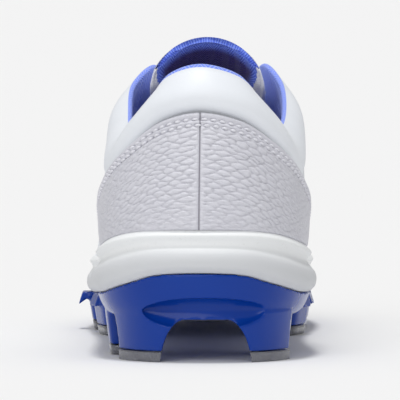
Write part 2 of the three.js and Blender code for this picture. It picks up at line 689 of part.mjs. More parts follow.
// Highest point that a lace must pass over, at a place along the ridge of the tongue.
function ridgePoint(y) {
  return new THREE.Vector3(0.016 * BALL_WIDTH, y, along(TONGUE, TONGUE_COLUMNS, "z", y / LENGTH) * COLLAR_HEIGHT);
}

// Flat lace swept through stops, each a place and the direction that the lace's face looks in.
const LACE_STEPS = 7;
function laceBand(stops) {
  const path = new THREE.CatmullRomCurve3(stops.map((stop) => stop.place), false, "centripetal");
  const rings = [];
  for (let k = 0; k <= LACE_STEPS; k++) {
    const share = k / LACE_STEPS;
    const at = Math.min(share * (stops.length - 1), stops.length - 1 - TINY);
    const before = Math.floor(at);
    const facing = stops[before].facing.clone().lerp(stops[before + 1].facing, at - before);
    const forward = path.getTangent(share);
    const up = facing.addScaledVector(forward, -facing.dot(forward)).normalize();
    const side = forward.clone().cross(up).normalize();
    rings.push([[-0.5, -0.5], [0.5, -0.5], [0.5, 0.5], [-0.5, 0.5]].map(([a, b]) =>
      path.getPoint(share).addScaledVector(side, a * LACE_WIDTH).addScaledVector(up, b * LACE_THICK)));
  }
  const triangles = joinRings(rings, true, false);
  const last = (rings.length - 1) * 4;
  triangles.push([0, 2, 1], [0, 3, 2], [last, last + 1, last + 2], [last, last + 2, last + 3]);
  return solid(closedGeometry(rings.flat(), triangles));
}

// One run of lace from an eyelet, over the tongue, to under the far edge of the throat below the next eyelet.
const LACE_REST = LACE_THICK / 2 + OVERLAY + 5.4 * GAP;
const LACE_LIFT = 3.2; // where two runs cross over the tongue
function laceRun(pair, side) {
  const far = side === "lateral" ? "medial" : "lateral";
  const onUpper = (u, v) => ({ place: upperPoint(u, v, LACE_REST), facing: bareNormal(u, v) });
  const eyelet = eyeletShare(pair, side);
  const edgeShare = THREE.MathUtils.lerp(eyelet, eyeletShare(pair + 1, side), 0.25);
  const start = onUpper(eyelet, belowTop(eyelet, EYELET_INSET));
  const edge = onUpper(edgeShare, belowTop(edgeShare, 1));
  const farEdge = upperPoint(eyeletShare(pair + 1, far), 1);
  const middle = ridgePoint((start.place.y + farEdge.y) / 2);
  const climb = ridgePoint(middle.y - 1).sub(middle);
  const facing = new THREE.Vector3(0, climb.z, -climb.y).normalize();
  middle.addScaledVector(facing, LACE_THICK / 2 + LACE_LIFT);
  const end = farEdge.lerp(middle, 0.5);
  return [start, edge, { place: middle, facing }, { place: end, facing }];
}
function laceCross(pair) {
  return geometryOf(laceBand(laceRun(pair, "lateral")).add(laceBand(laceRun(pair, "medial"))).simplify(COARSE));
}

// Assembly
const shoe = new THREE.Group();
function place(name, geometry, look) {
  const material = new THREE.MeshStandardMaterial({ ...COLOURS[look], metalness: 0 });
  const mesh = new THREE.Mesh(geometry, material);
  mesh.name = name;
  shoe.add(mesh);
}
place("upper", upper(), "leather");
place("heel_counter", counter(), "counter");
place("eyestay", eyestay(), "leather");
place("tongue", tongue(), "mesh");
place("insole", insole(), "mesh");
place("midsole", midsole(), "foam");
place("outsole", outsole(), "plate");
place("tip_rear_lateral", postTip(-1), "tip");
place("tip_rear_medial", postTip(1), "tip");
for (const stud of studs) place(`tip_${stud.name}`, studBlade(stud, 0, TIP_HEIGHT), "tip");
for (let pair = 0; pair < EYELETS - 1; pair++) place(`lace_${pair + 1}`, laceCross(pair), "lace");

// The origin goes to the middle of the floor under the shoe.
const box = new THREE.Box3().setFromObject(shoe, true);
const middle = box.getCenter(new THREE.Vector3());
shoe.position.set(-middle.x, -middle.y, -box.min.z);

export default shoe;
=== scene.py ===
"""Softball cleat for the left foot, standing on its studs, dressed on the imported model."""

import math

import bpy
import numpy as np
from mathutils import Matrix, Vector


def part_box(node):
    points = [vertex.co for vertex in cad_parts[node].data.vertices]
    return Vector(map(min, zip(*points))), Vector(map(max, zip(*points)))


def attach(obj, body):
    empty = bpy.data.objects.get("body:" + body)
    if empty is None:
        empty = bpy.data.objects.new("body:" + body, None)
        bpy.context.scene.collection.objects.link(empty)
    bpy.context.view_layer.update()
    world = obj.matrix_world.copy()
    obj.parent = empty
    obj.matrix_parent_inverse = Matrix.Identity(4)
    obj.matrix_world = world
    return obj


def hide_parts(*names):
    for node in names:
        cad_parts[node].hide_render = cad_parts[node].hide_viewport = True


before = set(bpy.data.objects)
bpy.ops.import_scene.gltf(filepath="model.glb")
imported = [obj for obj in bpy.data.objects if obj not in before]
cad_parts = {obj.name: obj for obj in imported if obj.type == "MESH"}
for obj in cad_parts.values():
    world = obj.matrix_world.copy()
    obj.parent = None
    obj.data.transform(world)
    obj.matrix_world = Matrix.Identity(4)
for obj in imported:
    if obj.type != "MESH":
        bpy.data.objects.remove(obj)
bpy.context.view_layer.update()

# Last: the foot form that the upper is pulled over and the sole is cut to.
# A real one is a block of plastic; here it is a loop of sections from feather line to top edge.
# Sizes are millimetres in the last's own frame: y = 0 is the back of the heel, x = 0 its centre.
MM = 0.001
LENGTH = 280.0  # feather line, heel to toe
BALL_WIDTH = 77.0  # feather line across the ball
COLLAR_HEIGHT = 98.5
SOLE_STACK = 45.0
WALL = 2.0
GAP = 0.3
COLLAR_PAD = 5.0
COLLAR_BAND = 15.0
COLLAR_SPREAD = 0.3
COLLAR_ROLL = 3.6  # how far the band swells outwards at the back
ROLL_LOSS = 0.4  # share of that lost at the sides
COLLAR_END = (4.6, 6.2)  # sections from the heel where the padding fades out
SLOPE_STEP = 1e-3  # share over which slopes are taken
SECTION_COLUMNS = ["x", "y", "topX", "topY", "topZ", "footX", "footY", "footZ", "headX", "headY", "headZ"]
SECTIONS = np.array([
    [0.0, 0.002, 0.006, 0.02, 1.0, 0.0, -0.018, 0.19, 0.0, -0.008, -0.2],
    [-0.221, 0.018, -0.147, 0.036, 0.963, -0.014, -0.014, 0.19, -0.014, -0.008, -0.19],
    [-0.37, 0.073, -0.236, 0.082, 0.876, -0.029, -0.004, 0.18, -0.13, 0.0, -0.17],
    [-0.422, 0.162, -0.318, 0.16, 0.785, -0.034, 0.0, 0.17, -0.125, 0.0, -0.12],
    [-0.429, 0.262, -0.338, 0.24, 0.835, -0.034, 0.0, 0.18, -0.12, 0.0, -0.13],
    [-0.435, 0.364, -0.33, 0.312, 0.925, -0.034, -0.006, 0.2, -0.14, 0.006, -0.18],
    [-0.457, 0.47, -0.243, 0.37, 0.99, -0.029, -0.01, 0.22, -0.137, 0.018, -0.22],
    [-0.498, 0.578, -0.203, 0.446, 0.925, -0.021, -0.012, 0.22, -0.149, 0.028, -0.17],
    [-0.533, 0.686, -0.183, 0.528, 0.82, -0.017, -0.01, 0.21, -0.154, 0.04, -0.12],
    [-0.511, 0.792, -0.162, 0.606, 0.728, -0.016, -0.002, 0.21, -0.16, 0.06, -0.085],
    [-0.414, 0.888, -0.135, 0.662, 0.666, -0.017, 0.004, 0.22, -0.137, 0.09, -0.06],
    [-0.229, 0.964, -0.069, 0.696, 0.636, -0.007, 0.01, 0.235, -0.069, 0.125, -0.06],
    [0.027, 0.993, 0.014, 0.706, 0.628, 0.0, 0.012, 0.245, 0.0, 0.14, -0.06],
    [0.27, 0.957, 0.097, 0.696, 0.636, 0.009, 0.008, 0.235, 0.08, 0.12, -0.06],
    [0.409, 0.878, 0.169, 0.662, 0.669, 0.018, 0.002, 0.22, 0.149, 0.085, -0.06],
    [0.457, 0.786, 0.194, 0.606, 0.733, 0.016, -0.004, 0.215, 0.16, 0.056, -0.085],
    [0.457, 0.686, 0.214, 0.528, 0.825, 0.014, -0.01, 0.22, 0.149, 0.038, -0.12],
    [0.425, 0.578, 0.234, 0.446, 0.93, 0.016, -0.012, 0.23, 0.137, 0.026, -0.17],
    [0.394, 0.47, 0.286, 0.37, 0.994, 0.023, -0.01, 0.23, 0.126, 0.016, -0.22],
    [0.4, 0.364, 0.362, 0.312, 0.93, 0.034, -0.006, 0.21, 0.13, 0.006, -0.18],
    [0.43, 0.262, 0.378, 0.24, 0.838, 0.037, 0.0, 0.18, 0.105, 0.0, -0.13],
    [0.44, 0.162, 0.352, 0.16, 0.79, 0.037, 0.0, 0.17, 0.105, 0.0, -0.12],
    [0.377, 0.073, 0.279, 0.082, 0.882, 0.03, -0.004, 0.18, 0.12, 0.0, -0.17],
    [0.224, 0.018, 0.182, 0.036, 0.963, 0.014, -0.014, 0.19, 0.014, -0.008, -0.19],
])
ROWS = len(SECTIONS)
SOLE_COLUMNS = ["y", "floor", "parting", "bed", "rim"]
SOLE = np.array([
    [-0.02, 0.3244, 0.69, 0.77, 1.0],
    [0.002, 0.3244, 0.655, 0.765, 0.992],
    [0.03, 0.3244, 0.585, 0.755, 0.966],
    [0.09, 0.3244, 0.505, 0.74, 0.892],
    [0.17, 0.325, 0.478, 0.715, 0.828],
    [0.27, 0.36, 0.462, 0.66, 0.765],
    [0.4, 0.33, 0.42, 0.575, 0.7],
    [0.54, 0.262, 0.345, 0.475, 0.635],
    [0.68, 0.236, 0.31, 0.435, 0.595],
    [0.8, 0.236, 0.312, 0.44, 0.595],
    [0.9, 0.275, 0.355, 0.48, 0.63],
    [1.02, 0.355, 0.44, 0.565, 0.715],
])
TOE_STUD = (-0.025 * BALL_WIDTH, 0.875 * LENGTH)
toe_low, toe_high = (np.array(corner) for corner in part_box("tip_toe"))
last_origin = (toe_low + toe_high) / 2 - np.array([TOE_STUD[0] * MM, TOE_STUD[1] * MM, 0])
last_origin[2] = 0.0


def to_frame(points):
    """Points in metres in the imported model's frame, from millimetres in the last's frame."""
    return np.asarray(points) * MM + last_origin


def catmull_rom(p0, p1, p2, p3, t):
    """Catmull-Rom curve from p1 to p2 at share t, led by the stops before and after."""
    return 0.5 * (2 * p1 + (p2 - p0) * t + (2 * p0 - 5 * p1 + 4 * p2 - p3) * t**2
                  + (3 * p1 - p0 - 3 * p2 + p3) * t**3)


def section(name, u):
    """Value of a column at share u round the shoe: a closed Catmull-Rom curve through the rows."""
    column = SECTION_COLUMNS.index(name)
    at = np.mod(u, 1.0) * ROWS
    row = np.floor(at).astype(int)
    p0, p1, p2, p3 = (SECTIONS[(row + k) % ROWS, column] for k in (-1, 0, 1, 2))
    return catmull_rom(p0, p1, p2, p3, at - row)


def along(rows, columns, name, key):
    """Value of a column of an open table at a value of its first column, by cubic Hermite pieces."""
    ordered = rows[np.argsort(rows[:, 0])]
    x = ordered[:, 0]
    y = ordered[:, columns.index(name)]
    slopes = np.concatenate([[(y[1] - y[0]) / (x[1] - x[0])], (y[2:] - y[:-2]) / (x[2:] - x[:-2]),
                             [(y[-1] - y[-2]) / (x[-1] - x[-2])]])
    k = np.clip(np.searchsorted(x, key) - 1, 0, len(x) - 2)
    step = x[k + 1] - x[k]
    t = np.clip((key - x[k]) / step, 0, 1)
    return ((2 * t**3 - 3 * t**2 + 1) * y[k] + (t**3 - 2 * t**2 + t) * step * slopes[k]
            + (3 * t**2 - 2 * t**3) * y[k + 1] + (t**3 - t**2) * step * slopes[k + 1])


def ease(start, end, value):
    """Smooth step: 0 before start, 1 after end, with flat ends."""
    t = np.clip((value - start) / (end - start), 0, 1)
    return t * t * (3 - 2 * t)


def sole_height(name, y):
    """Height of one of the sole's lines above the floor at a distance along the shoe."""
    return SOLE_STACK * along(SOLE, SOLE_COLUMNS, name, y / LENGTH)


def feather(u):
    """Feather line: the edge of the last's bottom, lifted a gap above the footbed."""
    y = section("y", u) * LENGTH
    return np.stack([section("x", u) * BALL_WIDTH, y, sole_height("bed", y) + GAP], -1)


def rows_from_heel(u):
    """Sections between a place and the back of the heel."""
    return np.minimum(np.mod(u, 1.0), 1 - np.mod(u, 1.0)) * ROWS


def section_vector(name, u):
    """Vector of a name's three columns: shares of the ball's width, the length and the collar's height."""
    sizes = (BALL_WIDTH, LENGTH, COLLAR_HEIGHT)
    return np.stack([section(name + axis, u) * size for axis, size in zip("XYZ", sizes)], -1)


def bare_section(u, v):
    """Section of the last at share v of its height: a cubic Bezier curve from the feather line to the top."""
    foot = feather(u)
    top, lead, tail = (section_vector(name, u) for name in ("top", "foot", "head"))
    t = np.asarray(v)[..., None]
    return (foot * (1 - t)**3 + 3 * (foot + lead) * t * (1 - t)**2
            + 3 * (top + tail) * t**2 * (1 - t) + top * t**3)


def section_length(u):
    """Length of a section in ten chords."""
    stops = np.linspace(0, 1, 11)
    points = np.stack([bare_section(u, np.full(np.shape(u), stop)) for stop in stops])
    return np.linalg.norm(np.diff(points, axis=0), axis=-1).sum(axis=0)


def below_top(u, distance):
    """Share v that lies a distance below the top edge."""
    return 1 - distance / section_length(u)


def unit(vectors):
    """Vectors cut to length one."""
    return vectors / np.maximum(np.linalg.norm(vectors, axis=-1, keepdims=True), 1e-12)


def path_length(points):
    """Distance along a path of points, from 0 at its first."""
    return np.concatenate([[0], np.cumsum(np.linalg.norm(np.diff(points, axis=0), axis=-1))])


def bare_normal(u, v):
    """Outward direction of the last's surface: the cross product of its two slopes."""
    step = SLOPE_STEP
    around = bare_section(u + step, v) - bare_section(u - step, v)
    upwards = bare_section(u, np.minimum(v + step, 1)) - bare_section(u, np.maximum(v - step, 0))
    return unit(np.cross(upwards, around))


def band_height(u):
    """Height of the padded band, which widens at the sides of the heel."""
    rows = rows_from_heel(u)
    return COLLAR_BAND * (1 + COLLAR_SPREAD * (ease(0.8, 2.6, rows) - ease(3.6, 5.8, rows)))


def upper_point(u, v, out=0.0):
    """Outside of the upper: the last's surface with the collar's swell, pushed out along its normal."""
    u, v, out = np.broadcast_arrays(np.asarray(u, float), np.asarray(v, float), np.asarray(out, float))
    seam = below_top(u, band_height(u))
    t = np.clip((v - seam) / (1 - seam), 0, 1)
    share = 1 - ease(*COLLAR_END, rows_from_heel(u))
    swell = share * COLLAR_ROLL * (1 - ROLL_LOSS * ease(0.8, 3, rows_from_heel(u))) * np.sin(np.pi * t**0.8)
    return bare_section(u, v) + bare_normal(u, v) * (swell + out)[..., None]


def wall_thickness(u, v):
    """Leather and backing, and the collar's foam, which thins to the top edge."""
    seam = below_top(u, 1.7 * COLLAR_BAND)
    t = np.clip((v - seam) / (1 - seam), 0, 1)
    share = 1 - ease(*COLLAR_END, rows_from_heel(u))
    return WALL + share * COLLAR_PAD * np.abs(np.sin(np.pi * t**1.3))**0.8


def share_at_height(u, z):
    """Share v at which the upper's outside has a height, by halving."""
    low = np.zeros_like(u)
    high = np.full_like(u, 0.7)
    for _ in range(24):
        middle = (low + high) / 2
        under = upper_point(u, middle)[..., 2] < z
        low = np.where(under, middle, low)
        high = np.where(under, high, middle)
    return (low + high) / 2


# Upper: one wall of white synthetic leather over foam, with a blue knitted lining inside.
# It is cut as a flat pattern, stitched round the heel and pulled over the last; the collar is padded.
AROUND = 480
UPPER_LEVELS = 46
TOP_ROUND = 7  # points that round the top edge
EYELETS = 6
EYELET_RADIUS = 2.1
EYELET_INSET = 7.0
EYELET_ROWS = (10.3, 6.55)
SNAP = 0.65  # points this near to an eyelet's edge move onto it
TUCK_DEPTH = 1.2  # crease above the heel counter
TUCK_HALF = 1.8


def srgb(code):
    """Linear colour from an sRGB hex code: the curve of the sRGB standard, channel by channel."""
    channels = [int(code[k:k + 2], 16) / 255 for k in (1, 3, 5)]
    return tuple(c / 12.92 if c <= 0.04045 else ((c + 0.055) / 1.055)**2.4 for c in channels) + (1.0,)


def add_node(tree, kind, sockets=None, **settings):
    """Adds one node: settings are its properties, sockets its inputs, each a value or another output."""
    made = tree.nodes.new(kind)
    for name, value in settings.items():
        setattr(made, name, value)
    for socket, value in (sockets or {}).items():
        if isinstance(value, bpy.types.NodeSocket):
            tree.links.new(value, made.inputs[socket])
        else:
            made.inputs[socket].default_value = value
    return made


def new_material(name):
    """Empty material with its node tree, its Principled shader and that shader's link to the output."""
    material = bpy.data.materials.new(name)
    material.use_nodes = True
    tree = material.node_tree
    return material, tree, tree.nodes["Principled BSDF"]


def noise(tree, place, size, detail):
    """Random heights from 0 to 1 with grains of a size."""
    made = add_node(tree, "ShaderNodeTexNoise", {"Vector": place, "Scale": 1 / size, "Detail": detail})
    return made.outputs["Fac"]


def math_of(tree, operation, first, second=None):
    """One step of arithmetic on one or two values."""
    sockets = {0: first} if second is None else {0: first, 1: second}
    return add_node(tree, "ShaderNodeMath", sockets, operation=operation).outputs[0]


def spread(tree, value, low, high, way="LINEAR"):
    """A value's place between two limits, from 0 to 1."""
    made = add_node(tree, "ShaderNodeMapRange", {"Value": value, "From Min": low, "From Max": high},
                    interpolation_type=way)
    return made.outputs["Result"]


def blend(tree, factor, first, second):
    """Colour between two, each a hex code or another node's output."""
    a, b = (srgb(colour) if isinstance(colour, str) else colour for colour in (first, second))
    made = add_node(tree, "ShaderNodeMix", {"Factor": factor, "A": a, "B": b}, data_type="RGBA")
    return made.outputs["Result"]


def finish(tree, shader, colour, height, strength, distance, roughness):
    """Gives a shader its colour, its relief as a bump, and its roughness."""
    bump = add_node(tree, "ShaderNodeBump", {"Height": height, "Strength": strength, "Distance": distance})
    tree.links.new(bump.outputs["Normal"], shader.inputs["Normal"])
    if isinstance(colour, str):
        shader.inputs["Base Color"].default_value = srgb(colour)
    else:
        tree.links.new(colour, shader.inputs["Base Color"])
    shader.inputs["Roughness"].default_value = roughness


def grid_faces(rows, columns, round_rows=False, round_columns=False):
    """Quads between neighbours of a grid numbered row by row; a rounded way joins its last to its first."""
    r = np.arange(rows if round_rows else rows - 1)[:, None]
    c = np.arange(columns if round_columns else columns - 1)[None, :]
    r2 = (r + 1) % rows
    c2 = (c + 1) % columns
    corners = np.broadcast_arrays(r * columns + c, r * columns + c2, r2 * columns + c2, r2 * columns + c)
    return np.stack(corners, -1).reshape(-1, 4)


def across_cap(start, count):
    """Quads and two end triangles that close a ring round the shoe from its lateral to its medial side."""
    k = np.arange(1, count // 2 - 1)
    quads = np.stack([k, k + 1, count - k - 1, count - k], -1) + start
    half = count // 2
    ends = [[start, start + 1, start + count - 1], [start + half - 1, start + half, start + half + 1]]
    return quads.tolist() + ends


def ring_shell(rings):
    """Faces of a solid from rings round the shoe, closed across its lowest and its highest ring."""
    count = len(rings[0])
    faces = grid_faces(len(rings), count, False, True).tolist()
    faces += [face[::-1] for face in across_cap(0, count)] + across_cap((len(rings) - 1) * count, count)
    return np.concatenate(rings), faces


def facing_out(points, faces):
    """Faces turned so that the volume that they close is positive, by the sum of their corner products."""
    volume = 0.0
    for size in (3, 4):
        group = np.array([f for f in faces if len(f) == size])
        if len(group) == 0:
            continue
        for k in range(1, size - 1):
            a, b, c = points[group[:, 0]], points[group[:, k]], points[group[:, k + 1]]
            volume += np.einsum("ij,ij->i", a, np.cross(b, c)).sum()
    return faces if volume > 0 else [f[::-1] for f in faces]


def make_piece(name, points, faces, materials, uv=None, face_slots=None):
    """Mesh object from points in the last's frame and faces, with smooth shading and a map in metres."""
    faces = [list(f) for f in (faces.tolist() if isinstance(faces, np.ndarray) else faces)]
    turned = facing_out(np.asarray(points, float), faces)
    mesh = bpy.data.meshes.new(name)
    mesh.from_pydata(to_frame(points).tolist(), [], turned)
    mesh.polygons.foreach_set("use_smooth", np.ones(len(turned), bool))
    for material in materials:
        mesh.materials.append(material)
    if face_slots is not None:
        mesh.polygons.foreach_set("material_index", np.asarray(face_slots, np.int32))
    if uv is not None:
        corners = np.empty(len(mesh.loops), np.int32)
        mesh.loops.foreach_get("vertex_index", corners)
        layer = mesh.uv_layers.new(name="surface")
        layer.data.foreach_set("uv", (np.asarray(uv)[corners] * MM).astype(np.float32).ravel())
    mesh.update()
    piece = bpy.data.objects.new(name, mesh)
    bpy.context.scene.collection.objects.link(piece)
    return piece


def write_value(piece, name, values):
    """Stores a value at each of a piece's points for its material to read."""
    layer = piece.data.attributes.new(name, "FLOAT", "POINT")
    layer.data.foreach_set("value", np.asarray(values, np.float32).ravel())


def eyelet_place(pair, side):
    """Centre and axis of an eyelet, a set distance below the throat's edge."""
    row = EYELET_ROWS[0] + (EYELET_ROWS[1] - EYELET_ROWS[0]) * pair / (EYELETS - 1)
    u = np.array(row / ROWS if side == "lateral" else 1 - row / ROWS)
    v = below_top(u, EYELET_INSET)
    return upper_point(u, v), bare_normal(u, v)


def punch(outer, inner):
    """Eyelets punched through two layers of one grid: near points move onto the hole's circle, and the cells
    inside it are marked to go. Returns the cells that go."""
    rows, columns = outer.shape[:2]
    inside = np.zeros((rows, columns), bool)
    for pair in range(EYELETS):
        for side in ("lateral", "medial"):
            centre, axis = eyelet_place(pair, side)
            for layer in (outer, inner):
                away = layer - centre
                flat = away - (away @ axis)[..., None] * axis
                radius = np.linalg.norm(flat, axis=-1)
                near = np.linalg.norm(away, axis=-1) < 3 * EYELET_RADIUS
                snapped = near & (np.abs(radius - EYELET_RADIUS) < SNAP)
                moved = layer + flat * (EYELET_RADIUS / np.maximum(radius, 1e-6) - 1)[..., None]
                if layer is outer:
                    chosen = snapped
                    inside |= near & ((radius < EYELET_RADIUS) | snapped)
                layer[chosen] = moved[chosen]
    gone = (inside & np.roll(inside, -1, 1))[:-1]
    gone = gone & (inside & np.roll(inside, -1, 1))[1:]
    return gone


def hole_lining(gone, columns, twin):
    """Quads between two layers along the edges of the cells that are gone; twin gives the number that a
    point of the first layer has in the second."""
    lining = []
    for r, c in np.argwhere(gone):
        c2 = (c + 1) % columns
        a, b, d, e = r * columns + c, r * columns + c2, (r + 1) * columns + c, (r + 1) * columns + c2
        for first, second, empty in ((a, b, r > 0 and gone[r - 1, c]),
                                     (e, d, r + 1 < len(gone) and gone[r + 1, c]),
                                     (d, a, gone[r, c - 1]), (b, e, gone[r, c2])):
            if not empty:
                lining.append([first, second, twin(second), twin(first)])
    return lining


# White synthetic leather: polyurethane film on a knit, embossed nearly smooth, which gives a soft satin
# sheen and a fine grain that only shows close by.
white_leather, tree, shader = new_material("white_synthetic_leather")
place = add_node(tree, "ShaderNodeTexCoord").outputs["Object"]
grain = noise(tree, place, 0.9 * MM, 4.0)
soft = noise(tree, place, 14 * MM, 2.0)
heights = math_of(tree, "ADD", grain, soft)
tone = blend(tree, soft, "#E3E7ED", "#EBEEF3")
finish(tree, shader, tone, heights, 0.25, 0.25 * MM, 0.48)

# Blue knitted lining: polyester yarn knitted in chevrons about 3 mm wide, matt, with a soft sheen
# on the raised yarns and darker gaps between them.
CHEVRON = 3.2 * MM


def chevron_knit(name, gap_colour, yarn_colour, yarn_row):
    """Knitted cloth: a sine of the distance along the piece plus a zigzag across it gives slanting yarns."""
    material, tree, shader = new_material(name)
    place = add_node(tree, "ShaderNodeUVMap", uv_map="surface").outputs["UV"]
    axes = add_node(tree, "ShaderNodeSeparateXYZ", {"Vector": place})
    zigzag = math_of(tree, "PINGPONG", axes.outputs["X"], CHEVRON)
    slanted = math_of(tree, "ADD", axes.outputs["Y"], zigzag)
    turns = math_of(tree, "MULTIPLY", slanted, 2 * math.pi / yarn_row)
    yarns = math_of(tree, "SINE", turns)
    level = spread(tree, yarns, -1.0, 1.0)
    tone = blend(tree, level, gap_colour, yarn_colour)
    finish(tree, shader, tone, level, 0.6, 0.4 * MM, 0.85)
    shader.inputs["Sheen Weight"].default_value = 0.2
    return material, tree, shader, tone


blue_knit, tree, shader, tone = chevron_knit("blue_knitted_lining", "#6F8AFA", "#A5B8FF", 1.5 * MM)

u = (np.arange(AROUND) / AROUND + 0.5)[None, :]
seam = below_top(u, band_height(u))
below_seam = np.linspace(0, 1, 25)[:-1, None] * seam
above_seam = seam + np.linspace(0, 1, UPPER_LEVELS - 24)[:, None] * (1 - seam)
v = np.concatenate([below_seam, above_seam])
thickness = wall_thickness(np.broadcast_to(u, v.shape), v)
at_back = 1 - ease(2, 4.5, rows_from_heel(u))
tuck = TUCK_DEPTH * at_back * np.exp(-((v - seam) * section_length(u) / TUCK_HALF)**2)
outside = upper_point(u, v, -tuck)
inside_wall = upper_point(u, v, -thickness)
gone = punch(outside, inside_wall)
edge_out = outside[-1]
edge_in = inside_wall[-1]
rise = unit(bare_section(u[0], np.ones(AROUND)) - bare_section(u[0], np.full(AROUND, 0.98)))
turn = np.linspace(0, np.pi, TOP_ROUND + 2)[1:-1, None, None]
half = (edge_out - edge_in) / 2
lining_rise = 1 + 0.9 * (1 - ease(0.9, 1.7, rows_from_heel(u[0])))[:, None]
rounding = (edge_out + edge_in) / 2 + np.cos(turn) * half \
    + np.sin(turn) * rise * lining_rise * np.linalg.norm(half, axis=-1, keepdims=True)
points = np.concatenate([outside, rounding, inside_wall[::-1]])
levels = len(points)
cells = np.ones((levels, AROUND), bool)
cells[:UPPER_LEVELS - 1][gone] = False
cells[levels - UPPER_LEVELS:levels - 1][::-1][gone] = False
quads = grid_faces(levels, AROUND, True, True)
quads = quads.reshape(levels, AROUND, 4)[cells]
mirror_row = levels - 1
lining = hole_lining(gone, AROUND, lambda k: (mirror_row - k // AROUND) * AROUND + k % AROUND)
middle_row = UPPER_LEVELS
row_of = np.repeat(np.arange(levels), AROUND).reshape(levels, AROUND)[cells]
slots = np.where((row_of >= middle_row) & (row_of < levels - 1), 1, 0)
arc = path_length(outside[20])
heights = path_length(points[:, AROUND // 2])
uv = np.stack(np.broadcast_arrays(arc[None, :], heights[:, None]), -1).reshape(-1, 2)
upper = make_piece("upper_shell", points.reshape(-1, 3), quads.tolist() + lining, [white_leather, blue_knit],
                   uv, np.concatenate([slots, np.zeros(len(lining), int)]))
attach(upper, "root")
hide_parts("upper")

# Heel counter: a leather overlay round the heel, tumbled so that it wrinkles across, with its top edge
# folded and held by two rows of stitches, and joined at the centre back by a closed seam.
OVERLAY = 1.2
COUNTER_LIFT = 0.15  # above the midsole's rim
COUNTER_ROW = 5
STITCH_ROWS = (2.3, 4.3)  # below the folded edge
STITCH_PITCH = 3.1
EDGE_ROUND = 0.9
CENTRE_SEAM_DEPTH = 0.55
CENTRE_SEAM_HALF = 0.35
SEAM_CROWDING = 4.5  # distance within which the columns crowd to the seam
PEBBLE = (5.2, 1.5)  # along and across
PEBBLE_HEIGHT = 0.75
COUNTER_COLUMNS = 384
COUNTER_LEVELS = 172
BACK_LEVELS = 7


def counter_foot(u):
    """Lower edge of the counter, just above the midsole's rim."""
    y = section("y", u) * LENGTH
    return share_at_height(u, sole_height("rim", y) + COUNTER_LIFT)


def counter_top(u):
    """Upper edge of the counter: the collar's seam, falling to a point on each side."""
    low = counter_foot(u)
    fall = ease(2.4, COUNTER_ROW, rows_from_heel(u))
    return low + (below_top(u, band_height(u)) - low) * (1 - 0.86 * fall)


def round_edge(from_edge):
    """Share of a layer's thickness near its edge: a quarter circle as wide as EDGE_ROUND."""
    return np.sqrt(np.clip(1 - (1 - np.clip(from_edge / EDGE_ROUND, 0, 1))**2, 0, 1))


def lattice_noise(x, y, seed):
    """Smooth random heights from -1 to 1: seeded values on a unit lattice, blended by a quintic step."""
    table = np.random.default_rng(seed).uniform(-1, 1, (128, 128))
    i = np.floor(x).astype(int)
    j = np.floor(y).astype(int)
    fx = x - i
    fy = y - j
    ex = fx**3 * (fx * (fx * 6 - 15) + 10)
    ey = fy**3 * (fy * (fy * 6 - 15) + 10)
    corner = [[table[(i + a) % 128, (j + b) % 128] for b in (0, 1)] for a in (0, 1)]
    low = corner[0][0] * (1 - ex) + corner[1][0] * ex
    high = corner[0][1] * (1 - ex) + corner[1][1] * ex
    return low * (1 - ey) + high * ey


def pebbles(x, y, seed):
    """Plump cells from 0 at their borders to 1: the gap between a place's two nearest points on a lattice
    whose rows are offset by half and whose points are moved at random."""
    moves = np.random.default_rng(seed).uniform(-0.27, 0.27, (128, 128, 2))
    j = np.floor(y).astype(int)
    nearest = np.full(x.shape, 9.0)
    second = np.full(x.shape, 9.0)
    for dj in (-2, -1, 0, 1, 2):
        row = j + dj
        offset = 0.5 * (row % 2)
        i = np.floor(x - offset).astype(int)
        for di in (-1, 0, 1):
            column = i + di
            move = moves[column % 128, row % 128]
            beside = x - (column + 0.5 + offset + move[..., 0])
            away = np.hypot(beside, 0.8 * (y - (row + 0.5 + move[..., 1])))
            second = np.minimum(second, np.maximum(nearest, away))
            nearest = np.minimum(nearest, away)
    return 1 - np.exp(-(second - nearest) / 0.16)


reach_u = np.linspace(-COUNTER_ROW / ROWS, COUNTER_ROW / ROWS, 801)
reach_s = path_length(upper_point(reach_u, np.full_like(reach_u, 0.45)))
reach_s -= np.interp(0, reach_u, reach_s)
even = np.linspace(-1, 1, COUNTER_COLUMNS)
s = np.interp(even, [-1, 1], [reach_s[0], reach_s[-1]])
beside_seam = s / SEAM_CROWDING
s = s - 2.2 * np.exp(-beside_seam**2) * np.sin(np.clip(beside_seam, -np.pi, np.pi)) * 0.9
u = np.interp(s, reach_s, reach_u)[:, None]
foot = counter_foot(u[:, 0])[:, None]
top = counter_top(u[:, 0])[:, None]
length = section_length(u)
height = (top - foot) * length
d = height * np.linspace(0, 1, COUNTER_LEVELS)[None, :]**1.12
v = top - d / length
end = np.minimum(s - s[0], s[-1] - s)[:, None]
from_edge = np.minimum(np.minimum(d, height - d), end)
rounded = round_edge(from_edge)
wander = lattice_noise(s[:, None] / 8 + 0 * d, d / 5, 5)
wide = pebbles(s[:, None] / PEBBLE[0] + 0.2 * wander, d / PEBBLE[1] + 0.35 * wander, 11)
small = pebbles(s[:, None] / (0.62 * PEBBLE[0]) + 0.2 * wander, d / (0.66 * PEBBLE[1]) - 0.3 * wander, 29)
middle = np.exp(-(s / 34)**4)[:, None] * (1 - ease(20, 40, d))
plump = wide * (0.35 + 0.65 * middle) + 0.5 * small * (1 - 0.6 * middle)
away_from_stitches = ease(STITCH_ROWS[1] + 0.3, STITCH_ROWS[1] + 1.8, d)
relief = PEBBLE_HEIGHT * (plump - 0.8) * away_from_stitches * (1 - 0.55 * ease(24, 62, np.abs(s)))[:, None] \
    * (1 - 0.5 * ease(26, 46, d)) * ease(0.3, 2.0, np.abs(s))[:, None]
sewn = np.zeros_like(d)
